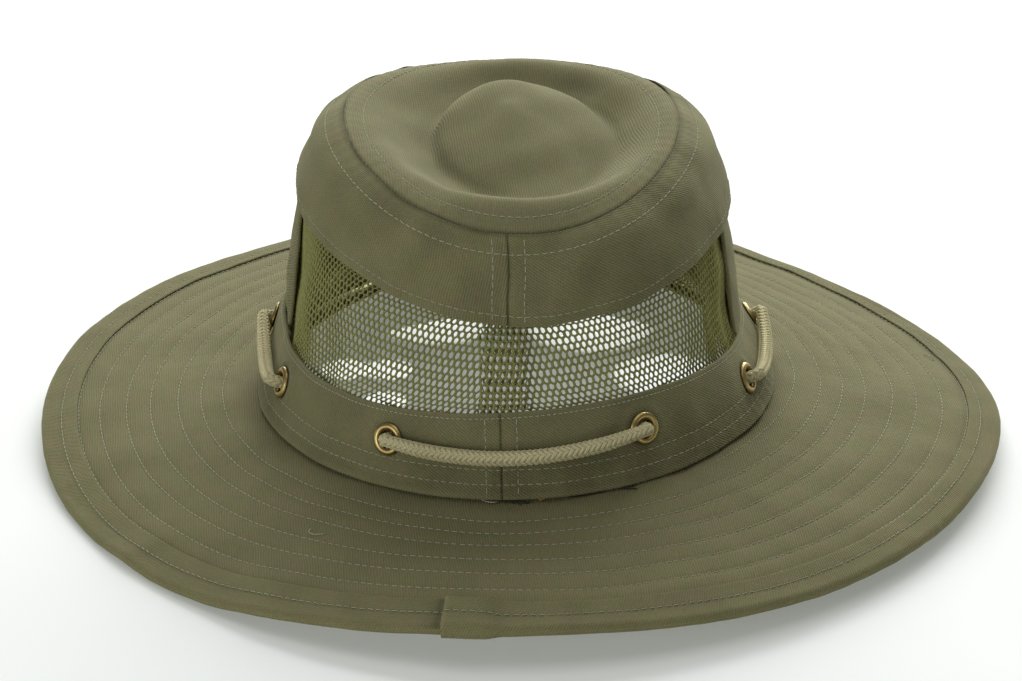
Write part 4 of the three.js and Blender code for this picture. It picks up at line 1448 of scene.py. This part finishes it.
def catmull_rom(points: Array, samples: int) -> Array:
    """A closed smooth curve through points: each span is the Catmull-Rom cubic of its four neighbours.

    Args:
        points: (N, D) values to pass through.
        samples: values for each span.

    Returns:
        (N samples, D) values.
    """
    t = (np.arange(samples) / samples)[None, :, None]
    a, b, c, d = (np.roll(points, shift, axis=0)[:, None] for shift in (1, 0, -1, -2))
    curve = 0.5 * (2.0 * b + (c - a) * t + (2.0 * a - 5.0 * b + 4.0 * c - d) * t ** 2
                   + (3.0 * b - a - 3.0 * c + d) * t ** 3)
    return curve.reshape(-1, points.shape[1])


@dataclass
class Eyelet:
    """A brass eyelet: a rolled ring outside, a barrel through the cloth and a flatter ring inside.

    Attributes:
        place: where it sits on the lower band.
        number: its number round the band.
        turns: points round each ring.
    """

    place: EyeletPlace
    number: int
    turns: int = 48

    def build(self) -> Surface:
        """The profile turned about the seat's normal: centre + r cos + r sin + the height along it."""
        profile = np.array([
            (3.10, -0.9), (3.10, 0.0), (3.10, 0.95), (3.28, 1.48), (3.72, 1.86), (4.30, 1.98), (4.92, 1.82),
            (5.40, 1.38), (5.58, 0.86), (5.30, 0.72), (4.30, 0.80), (3.62, 0.55), (3.62, -0.6), (4.20, -0.80),
            (4.95, -0.74), (5.18, -0.95), (4.95, -1.22), (4.20, -1.38), (3.45, -1.30)])
        curve = catmull_rom(profile, 2)
        seat = Seat.at(np.array(self.place.degrees), np.array(self.place.level))
        turn = 2.0 * math.pi * np.arange(self.turns) / self.turns
        uneven = (1.0 + 0.006 * np.sin(2.0 * turn + self.number)
                  + 0.004 * np.sin(5.0 * turn + 2.0 * self.number))
        radius = curve[:, :1] * uneven
        points = (seat.centre + radius[..., None] * (np.cos(turn)[:, None] * seat.along
                                                     + np.sin(turn)[:, None] * seat.up)
                  + curve[:, 1:, None] * seat.normal)
        points = points[::-1]
        around = wrapped(np.broadcast_to(turn * 4.0, points.shape[:2]), True, True)
        across = wrapped(np.broadcast_to(travelled(curve[::-1])[:, None], points.shape[:2]), True, True)
        wear_and_shade = bell(curve[::-1, 1:] - 1.95, 0.35) - bell(curve[::-1, 1:] - 0.75, 0.25)
        return grid_surface(points, np.stack([around, across], axis=-1),
                            np.broadcast_to(wear_and_shade, points.shape[:2]), True, True)


@dataclass
class BandCord:
    """The braided cord: one closed loop laced in and out through the eyelets, sagging between them.

    Attributes:
        radius: the braid's outer radius in mm.
        squeezed: its outer radius inside an eyelet.
        bend: how far from an eyelet's axis it has turned along the band, in mm.
        offset: how far its middle stands off the wall's middle beside an eyelet.
        slack: how much further it stands off between eyelets; less than nothing where it lies on the cloth.
        sag: how far it hangs between them.
        step: degrees between the route's places.
        strands: strands each way round.
        lay: mm of cord for one turn of a strand.
        strand: half of a strand's width and half of its thickness, in mm.
        length: the loop's length in mm, once it is built.
    """

    radius: float = 2.65
    squeezed: float = 2.25
    bend: float = 3.2
    offset: float = 4.8
    slack: float = -0.9
    sag: float = 2.8
    step: float = 11.0
    strands: int = 8
    lay: float = 15.0
    strand: tuple[float, float] = (0.74, 0.42)
    length: float = field(init=False, default=0.0)

    def route(self) -> Array:
        """The places that the cord passes, each with the band's up direction and the cord's radius.

        Returns:
            (N, 7) values.
        """
        corner = self.bend * (1.0 - math.sqrt(0.5))
        straight = self.offset - self.bend
        rows = []
        for i, here in enumerate(EYELETS):
            side = 1.0 if i % 2 == 0 else -1.0
            for along, out in ((-self.bend, -self.offset), (-corner, corner - self.offset), (0.0, -straight),
                               (0.0, straight), (corner, self.offset - corner), (self.bend, self.offset)):
                rows.append((here.degrees, here.level, along, side * out, 0.0, self.squeezed))
            following = EYELETS[(i + 1) % len(EYELETS)]
            span = (following.degrees - here.degrees) % 360.0
            steps = round(span / self.step)
            for k in range(1, steps):
                share = k / steps
                at = here.degrees + span * share
                rows.append((at, mix(here.level, following.level, share), 0.0,
                             side * (self.offset + self.slack) - cord_pull(at),
                             self.sag * math.sin(math.pi * share), self.radius))
        degrees, level, along, out, drop, radius = np.array(rows).T
        seat = Seat.at(degrees, level)
        place = (seat.centre + seat.along * along[:, None] + seat.normal * out[:, None]
                 - seat.up * drop[:, None])
        return np.concatenate([place, seat.up, radius[:, None]], axis=-1)

    def build(self) -> Surface:
        """Two sets of flat strands wound against each other, over two and under two, round a core.

        A strand runs at turn = 2 pi (k / n +- s / lay) on the cord's radius, moved in and out by the
        cosine of its meetings with the other set.
        """
        curve = catmull_rom(self.route(), 24)
        closed = np.concatenate([curve, curve[:1]])
        reach = travelled(closed[:, :3])
        self.length = float(reach[-1])
        count = int(self.length / 0.95)
        place = np.arange(count) * self.length / count
        values = np.stack([np.interp(place, reach, closed[:, axis]) for axis in range(7)], axis=-1)
        centre = values[:, :3]
        tangent = unit(np.roll(centre, -1, axis=0) - np.roll(centre, 1, axis=0))
        across = unit(np.cross(tangent, values[:, 3:6]))
        rise = np.cross(across, tangent)
        outer = values[:, 6]
        windings = round(self.length / self.lay)
        section = np.array(self.strand) * circle(5, 0.3)
        parts = []
        for way in (1.0, -1.0):
            for k in range(self.strands):
                turn = 2.0 * math.pi * (k / self.strands + way * windings * place / self.length)
                meet = 2.0 * math.pi * (2.0 * way * k / self.strands
                                        + 2.0 * windings * place / self.length) * self.strands / 4.0
                weave_in = 0.24 * way * np.cos(meet)
                direction = np.cos(turn)[:, None] * across + np.sin(turn)[:, None] * rise
                path = centre + direction * (outer - 0.62 + weave_in)[:, None]
                ahead = unit(np.roll(path, -1, axis=0) - np.roll(path, 1, axis=0))
                side = unit(np.cross(direction, ahead))
                parts.append(sweep(path, side, np.cross(ahead, side), section, True))
        core = circle(10)[None] * (outer - 0.95)[::3, None, None]
        parts.append(sweep(centre[::3], -across[::3], rise[::3], core, True))
        # The core is darkened: painted shade inside the braid, seen between the strands.
        parts[-1].wear_and_shade -= 0.8
        return Surface.joined(parts)


# Finishes

def linear(colour: str) -> tuple[float, float, float, float]:
    """An sRGB hex colour in linear light, with full alpha."""
    values = [int(colour[i:i + 2], 16) / 255.0 for i in (1, 3, 5)]
    return (*(v / 12.92 if v <= 0.04045 else ((v + 0.055) / 1.055) ** 2.4 for v in values), 1.0)


def add_node(tree: bpy.types.NodeTree, kind: str, inputs: dict | None = None, **settings) -> bpy.types.Node:
    """Adds a node, with its settings and with values or links for its inputs.

    Args:
        tree: the node tree.
        kind: the node's type.
        inputs: for each input's name or number, a value or an output socket.
        settings: the node's own settings.

    Returns:
        The node.
    """
    node = tree.nodes.new(kind)
    for name, value in settings.items():
        setattr(node, name, value)
    for key, value in (inputs or {}).items():
        if isinstance(value, bpy.types.NodeSocket):
            tree.links.new(value, node.inputs[key])
        else:
            node.inputs[key].default_value = value
    return node


def new_finish(name: str) -> tuple[bpy.types.Material, bpy.types.NodeTree]:
    """An empty node material and its tree."""
    material = bpy.data.materials.new(name)
    material.use_nodes = True
    material.node_tree.nodes.clear()
    return material, material.node_tree


class Grain(Enum):
    """Which way the twill lines of each cut piece run, in degrees from the flat cloth's first direction."""

    UPPER_BAND = 145.0
    LOWER_BAND = -37.0
    TIP = 98.0
    BRIM = 97.0
    BINDING = 62.0
    TAB = 28.0


@dataclass(frozen=True)
class CottonTwill:
    """Washed olive cotton twill, woven from two-ply yarn and garment-dyed.

    The eye gets fine slanting ridges with darker valleys, a matt face with a soft sheen at grazing angles,
    cloudy green and brown fading, pale rubbed edges, and painted shade along the seams and in creases.

    Attributes:
        name: the material's name.
        grain: which piece's direction its lines take.
        green: the dye's greener fading.
        brown: its browner fading.
        pitch: mm between twill lines, as counted on the hat; no coarser than the real ones.
        yarn: mm between the cross yarns along a line, drawn a little coarser than real to show.
        contrast: how much lighter and darker than the mean a line's crest and valley are.
    """

    name: str
    grain: Grain
    green: str = "#6f6f4c"
    brown: str = "#736d50"
    pitch: float = 0.86
    yarn: float = 1.1
    contrast: float = 0.18

    def material(self) -> bpy.types.Material:
        """Ridges from the sine of the distance across the lines, broken along them, over noise.

        The colour is the dye times 0.66 + the weighted ridges, yarns, slubs, fading, wear and painted shade,
        at least 0.25.
        """
        material, tree = new_finish(self.name)
        turn = math.radians(self.grain.value)
        flat = add_node(tree, "ShaderNodeUVMap", uv_map=WEAVE_MAP).outputs["UV"]
        place = add_node(tree, "ShaderNodeTexCoord").outputs["Object"]
        wobble, slub, cloud, fade = (
            add_node(tree, "ShaderNodeTexNoise", {"Vector": source, "Scale": scale, "Detail": detail,
                                                  "Roughness": roughness}).outputs["Fac"]
            for source, scale, detail, roughness in ((flat, 0.07, 2.0, 0.5), (flat, 0.9, 3.0, 0.65),
                                                     (place, 150.0, 8.0, 0.8), (place, 130.0, 3.0, 0.5)))
        across, along = (
            add_node(tree, "ShaderNodeVectorMath", {0: flat, 1: direction},
                     operation="DOT_PRODUCT").outputs["Value"]
            for direction in ((-math.sin(turn) / self.pitch, math.cos(turn) / self.pitch, 0.0),
                              (math.cos(turn) / self.yarn, math.sin(turn) / self.yarn, 0.0)))
        across = add_node(tree, "ShaderNodeMath", {0: wobble, 1: 2.2, 2: across},
                          operation="MULTIPLY_ADD").outputs[0]
        step = add_node(tree, "ShaderNodeMath", {0: across, 1: 0.5, 2: along},
                        operation="MULTIPLY_ADD").outputs[0]
        waves = []
        for value in (across, step):
            phase = add_node(tree, "ShaderNodeMath", {0: value, 1: 2.0 * math.pi},
                             operation="MULTIPLY").outputs[0]
            waves.append(add_node(tree, "ShaderNodeMath", {0: phase}, operation="SINE").outputs[0])
        ridge, cross = waves
        height = ridge
        for source, weight in ((cross, 0.28), (slub, 1.6)):
            height = add_node(tree, "ShaderNodeMath", {0: source, 1: weight, 2: height},
                              operation="MULTIPLY_ADD").outputs[0]
        brownness = add_node(tree, "ShaderNodeMapRange", {
            "Value": cloud, "From Min": 0.40, "From Max": 0.60}).outputs[0]
        dye = add_node(tree, "ShaderNodeMix", {0: brownness, 6: linear(self.green), 7: linear(self.brown)},
                       data_type="RGBA").outputs[2]
        wear_and_shade = add_node(tree, "ShaderNodeAttribute", attribute_name=WEAR_AND_SHADE).outputs["Fac"]
        light = 0.66
        for source, weight in ((ridge, self.contrast), (cross, 0.05), (slub, 0.50), (fade, 0.16),
                               (wear_and_shade, 0.26)):
            light = add_node(tree, "ShaderNodeMath", {0: source, 1: weight, 2: light},
                             operation="MULTIPLY_ADD").outputs[0]
        light = add_node(tree, "ShaderNodeMath", {0: light, 1: 0.25}, operation="MAXIMUM").outputs[0]
        colour = add_node(tree, "ShaderNodeVectorMath", {0: dye, "Scale": light},
                          operation="SCALE").outputs[0]
        bump = add_node(tree, "ShaderNodeBump", {
            "Height": height, "Strength": 0.9, "Distance": 0.00007}).outputs[0]
        shader = add_node(tree, "ShaderNodeBsdfPrincipled", {
            "Base Color": colour, "Roughness": 0.93, "Specular IOR Level": 0.2, "Sheen Weight": 0.2,
            "Sheen Roughness": 0.5, "Sheen Tint": linear("#c4c29c"), "Normal": bump})
        add_node(tree, "ShaderNodeOutputMaterial", {"Surface": shader.outputs[0]})
        return material


@dataclass(frozen=True)
class PlainYarn:
    """Spun yarn or sewing thread: the eye gets a matt, slightly fuzzy strand with fine twist lines.

    Attributes:
        name: the material's name.
        pale: the colour where light catches the fibres.
        deep: the colour of the painted shade in the twist, and of the darker mottling.
        twist: mm from one twist line to the next along the strand.
        mottle: how much the colour varies from place to place.
        sheen: the weight of the fuzz's sheen.
    """

    name: str
    pale: str
    deep: str
    twist: float
    mottle: float = 0.4
    sheen: float = 0.3

    def material(self) -> bpy.types.Material:
        """Slanting twist lines on the strand's own map, over noise in space."""
        material, tree = new_finish(self.name)
        flat = add_node(tree, "ShaderNodeUVMap", uv_map=WEAVE_MAP).outputs["UV"]
        place = add_node(tree, "ShaderNodeTexCoord").outputs["Object"]
        turns = 2.0 * math.pi / self.twist
        phase = add_node(tree, "ShaderNodeVectorMath", {0: flat, 1: (turns * 0.7, turns, 0.0)},
                         operation="DOT_PRODUCT").outputs["Value"]
        twist = add_node(tree, "ShaderNodeMath", {0: phase}, operation="SINE").outputs[0]
        fuzz, cloud = (
            add_node(tree, "ShaderNodeTexNoise", {
                "Vector": place, "Scale": scale, "Detail": detail}).outputs["Fac"]
            for scale, detail in ((1500.0, 2.0), (90.0, 3.0)))
        wear_and_shade = add_node(tree, "ShaderNodeAttribute", attribute_name=WEAR_AND_SHADE).outputs["Fac"]
        share = 0.5 - self.mottle / 2.0
        for source, weight in ((twist, 0.22), (cloud, self.mottle), (fuzz, 0.3)):
            share = add_node(tree, "ShaderNodeMath", {0: source, 1: weight, 2: share},
                             operation="MULTIPLY_ADD").outputs[0]
        share = add_node(tree, "ShaderNodeMath", {0: wear_and_shade, 1: 0.5, 2: share}, operation="MULTIPLY_ADD",
                         use_clamp=True).outputs[0]
        colour = add_node(tree, "ShaderNodeMix", {0: share, 6: linear(self.deep), 7: linear(self.pale)},
                          data_type="RGBA").outputs[2]
        height = add_node(tree, "ShaderNodeMath", {0: fuzz, 1: 0.8, 2: twist},
                          operation="MULTIPLY_ADD").outputs[0]
        bump = add_node(tree, "ShaderNodeBump", {
            "Height": height, "Strength": 0.8, "Distance": 0.00005}).outputs[0]
        shader = add_node(tree, "ShaderNodeBsdfPrincipled", {
            "Base Color": colour, "Roughness": 0.9, "Specular IOR Level": 0.2, "Sheen Weight": self.sheen,
            "Sheen Roughness": 0.5, "Sheen Tint": linear(self.pale), "Normal": bump})
        add_node(tree, "ShaderNodeOutputMaterial", {"Surface": shader.outputs[0]})
        return material


@dataclass(frozen=True)
class WornBrass:
    """Pressed brass sheet, once polished: bright on the rolled crest, duller and browner in the hollows.

    Attributes:
        name: the material's name.
        bright: the rubbed metal's colour.
        tarnish: the colour in the hollows.
    """

    name: str = "worn_pressed_brass"
    bright: str = "#ab9660"
    tarnish: str = "#5d5030"

    def material(self) -> bpy.types.Material:
        """Metal whose colour and roughness follow noise and the wear of the rolled crest."""
        material, tree = new_finish(self.name)
        place = add_node(tree, "ShaderNodeTexCoord").outputs["Object"]
        blotch = add_node(tree, "ShaderNodeTexNoise", {
            "Vector": place, "Scale": 420.0, "Detail": 4.0}).outputs["Fac"]
        wear_and_shade = add_node(tree, "ShaderNodeAttribute", attribute_name=WEAR_AND_SHADE).outputs["Fac"]
        dull = add_node(tree, "ShaderNodeMath", {0: wear_and_shade, 1: -0.35, 2: blotch},
                        operation="MULTIPLY_ADD").outputs[0]
        dull = add_node(tree, "ShaderNodeMapRange", {
            "Value": dull, "From Min": 0.35, "From Max": 0.75}).outputs[0]
        colour = add_node(tree, "ShaderNodeMix", {0: dull, 6: linear(self.bright), 7: linear(self.tarnish)},
                          data_type="RGBA").outputs[2]
        rough = add_node(tree, "ShaderNodeMapRange", {
            "Value": dull, "To Min": 0.36, "To Max": 0.55}).outputs[0]
        bump = add_node(tree, "ShaderNodeBump", {
            "Height": blotch, "Strength": 0.2, "Distance": 0.00003}).outputs[0]
        shader = add_node(tree, "ShaderNodeBsdfPrincipled", {
            "Base Color": colour, "Metallic": 1.0, "Roughness": rough, "Normal": bump})
        add_node(tree, "ShaderNodeOutputMaterial", {"Surface": shader.outputs[0]})
        return material


@dataclass(frozen=True)
class PaleBoard:
    """A lit white table top for the floor: the eye gets one even, matt, pale surface that glows a little.

    Attributes:
        name: the material's name.
        colour: its matt colour.
        glow: the colour of its glow.
    """

    name: str = "pale_lit_table"
    colour: str = "#dcdedc"
    glow: str = "#7d807c"

    def material(self) -> bpy.types.Material:
        """One matt colour and an even glow."""
        material, tree = new_finish(self.name)
        shader = add_node(tree, "ShaderNodeBsdfPrincipled", {
            "Base Color": linear(self.colour), "Roughness": 0.9, "Specular IOR Level": 0.1,
            "Emission Color": linear(self.glow), "Emission Strength": 1.0})
        add_node(tree, "ShaderNodeOutputMaterial", {"Surface": shader.outputs[0]})
        return material


# The room

@dataclass(frozen=True)
class Lamp:
    """A square white studio lamp: its place, side and aim in metres and its power in watts."""

    name: str
    place: tuple[float, float, float]
    side: float
    watts: float
    aim: tuple[float, float, float] = (0.0, 0.0, 0.05)

    def build(self) -> None:
        """Hangs the lamp."""
        light = bpy.data.lights.new(self.name, "AREA")
        light.shape = "SQUARE"
        light.size = self.side
        light.energy = self.watts
        lamp = bpy.data.objects.new(self.name, light)
        turn = (Vector(self.aim) - Vector(self.place)).to_track_quat("-Z", "Y")
        lamp.matrix_world = Matrix.Translation(self.place) @ turn.to_matrix().to_4x4()
        bpy.context.scene.collection.objects.link(lamp)


@dataclass(frozen=True)
class NetSpot:
    """A small spot inside the crown, for a pool of the light that falls through the netting to the floor.

    Attributes:
        name: its name.
        x: its place to the right in metres.
        y: its place to the front in metres.
        radius: the pool's radius in metres.
        height: its height over the floor in metres.
        brightness: how bright the pool looks on a white floor.
    """

    name: str
    x: float
    y: float
    radius: float
    height: float = 0.045
    brightness: float = 0.9

    def build(self) -> None:
        """Hangs the spot: its half angle is atan(radius / height), its power (2 pi height)^2 brightness."""
        light = bpy.data.lights.new(self.name, "SPOT")
        light.spot_size = 2.0 * math.atan(self.radius / self.height)
        light.spot_blend = 0.3
        light.shadow_soft_size = 0.0
        light.energy = (2.0 * math.pi * self.height) ** 2 * self.brightness
        lamp = bpy.data.objects.new(self.name, light)
        lamp.matrix_world = Matrix.Translation((self.x, self.y, self.height))
        bpy.context.scene.collection.objects.link(lamp)


@dataclass(frozen=True)
class Studio:
    """The camera, the pale floor and the soft lamps.

    Attributes:
        target: the point at the picture's middle, in mm.
        distance: mm from there to the camera.
        azimuth: the camera's direction seen from above, in degrees from -Y towards +X.
        elevation: its height above the level, in degrees.
        lens: its focal length on a sensor 36 mm wide.
        world: the strength of the white light from all round.
        floor_half: half of the floor's side in metres.
        lamps: the big soft lamps.
        spots: the pools of light under the crown.
    """

    target: tuple[float, float, float] = (-3.49, 0.25, 32.32)
    distance: float = 1200.26
    azimuth: float = 1.49
    elevation: float = 23.58
    lens: float = 119.09
    world: float = 0.19
    floor_half: float = 6.0
    lamps: tuple[Lamp, ...] = (
        Lamp("backdrop_lamp", (0.20, 1.5, 1.0), 1.8, 58.0), Lamp("top_lamp", (0.1, -0.25, 1.7), 1.4, 7.0),
        Lamp("left_lamp", (-1.5, -1.5, 0.35), 0.8, 13.0))
    spots: tuple[NetSpot, ...] = (
        NetSpot("arch_pool_left", -0.062, 0.088, 0.020), NetSpot("arch_pool_right", -0.034, 0.092, 0.024),
        NetSpot("lens_pool_left", -0.066, 0.046, 0.010), NetSpot("lens_pool_right", -0.050, 0.046, 0.010),
        NetSpot("near_pool", -0.050, 0.018, 0.009), NetSpot("right_pool_inner", 0.024, 0.088, 0.026),
        NetSpot("right_pool", 0.052, 0.084, 0.030), NetSpot("right_pool_near", 0.052, 0.044, 0.021))

    def build(self) -> None:
        """Sets up the camera, the floor, the white light from all round and the lamps."""
        bpy.context.scene.view_settings.view_transform = "Standard"
        self.place_camera()
        self.lay_floor()
        self.light_world()
        for lamp in (*self.lamps, *self.spots):
            lamp.build()

    def place_camera(self) -> None:
        """Puts the camera at target + distance back, where back points from the target to it."""
        azimuth, elevation = math.radians(self.azimuth), math.radians(self.elevation)
        back = Vector((math.sin(azimuth) * math.cos(elevation), -math.cos(azimuth) * math.cos(elevation),
                       math.sin(elevation)))
        camera = bpy.data.objects.new("camera", bpy.data.cameras.new("camera"))
        camera.data.lens = self.lens
        camera.data.sensor_width = 36.0
        camera.data.sensor_fit = "HORIZONTAL"
        camera.data.clip_end = 30.0
        target = Vector(self.target) * MM
        camera.matrix_world = (Matrix.Translation(target + back * self.distance * MM)
                               @ back.to_track_quat("Z", "Y").to_matrix().to_4x4())
        bpy.context.scene.collection.objects.link(camera)
        bpy.context.scene.camera = camera

    def lay_floor(self) -> None:
        """Lays the square floor."""
        half = self.floor_half
        mesh = bpy.data.meshes.new("floor")
        mesh.from_pydata([(-half, -half, 0.0), (half, -half, 0.0), (half, half, 0.0), (-half, half, 0.0)], [],
                         [(0, 1, 2, 3)])
        mesh.materials.append(PaleBoard().material())
        floor = bpy.data.objects.new("floor", mesh)
        bpy.context.scene.collection.objects.link(floor)

    def light_world(self) -> None:
        """Sets the even white light from all round."""
        world = bpy.data.worlds.new("studio")
        bpy.context.scene.world = world
        world.use_nodes = True
        world.node_tree.nodes.clear()
        sky = add_node(world.node_tree, "ShaderNodeBackground", {
            "Color": linear("#ffffff"), "Strength": self.world})
        add_node(world.node_tree, "ShaderNodeOutputWorld", {"Surface": sky.outputs[0]})


def main() -> None:
    """Builds the room and every piece of the hat, in order."""
    logging.basicConfig(level=logging.INFO, format="%(message)s")
    Studio().build()
    thread = Stitches()
    twill = {grain: CottonTwill("cotton_twill_" + grain.name.lower(), grain).material()
             for grain in (Grain.UPPER_BAND, Grain.LOWER_BAND, Grain.TAB)}
    twill[Grain.TIP] = CottonTwill("cotton_twill_tip", Grain.TIP, contrast=0.10).material()
    for grain in (Grain.BRIM, Grain.BINDING):
        twill[grain] = CottonTwill("faded_twill_" + grain.name.lower(), grain, "#6b6b48", "#70694c",
                                   contrast=0.11).material()
    sewing = PlainYarn("grey_green_sewing_thread", "#b8bba2", "#8b8e76", 0.5).material()
    yarn = PlainYarn("olive_knitted_yarn", "#98985e", "#5b5a33", 0.6).material()
    braid = PlainYarn("khaki_cotton_braid", "#d2caa0", "#857e59", 0.7).material()
    brass = WornBrass().material()

    upper, tip, lower, net = UpperBand(), CrownTip(), LowerBand(), NetBand()
    add_piece("crown_side_cloth", upper.build(), twill[Grain.UPPER_BAND], ("upper_band",))
    add_piece("crown_tip_cloth", tip.build(), twill[Grain.TIP], ("crown_tip",))
    add_piece("lower_band_cloth", lower.build(), twill[Grain.LOWER_BAND], ("lower_band",))
    add_piece("knitted_net", net.build(), yarn, ("mesh_band",))
    for name, side in (("right", 0.0), ("left", 180.0)):
        add_piece(f"strap_{name}", SideTab(side).build(), twill[Grain.TAB], (f"side_tab_{name}",))

    brim = Brim()
    add_piece("brim_cloth", brim.build(), twill[Grain.BRIM], ("brim",))
    binding = Binding(brim)
    add_piece("edge_binding", binding.build(), twill[Grain.BINDING], ("brim_binding",))

    for name, rows in (("crown_stitches", upper.stitches(thread) + tip.stitches(thread)),
                       ("lower_band_stitches", lower.stitches(thread)),
                       ("brim_stitches", brim.stitches(thread)),
                       ("binding_stitches", binding.stitches(thread))):
        add_piece(name, Surface.joined(rows), sewing)
    fray = PlainYarn("dark_frayed_yarn", "#3a3c2c", "#1e2016", 0.3).material()
    lint = PlainYarn("orange_brown_lint", "#c08a50", "#83552c", 0.6).material()
    add_piece("dark_frays", LooseThreads(brim, DARK_FRAYS).build(), fray)
    add_piece("pale_thread_ends", LooseThreads(brim, PALE_ENDS, 0.15).build(), sewing)
    add_piece("brown_fleck", LooseThreads(brim, FLECK, 0.55).build(), lint)

    for number, place in enumerate(EYELETS, start=1):
        add_piece(f"brass_ring_{number}", Eyelet(place, number).build(), brass,
                  (f"eyelet_{number}",))
    cord = BandCord()
    add_piece("braided_cord", cord.build(), braid, ("band_cord",))
    log.info("cord: %.0f mm round", cord.length)


if __name__ == "__main__":
    main()
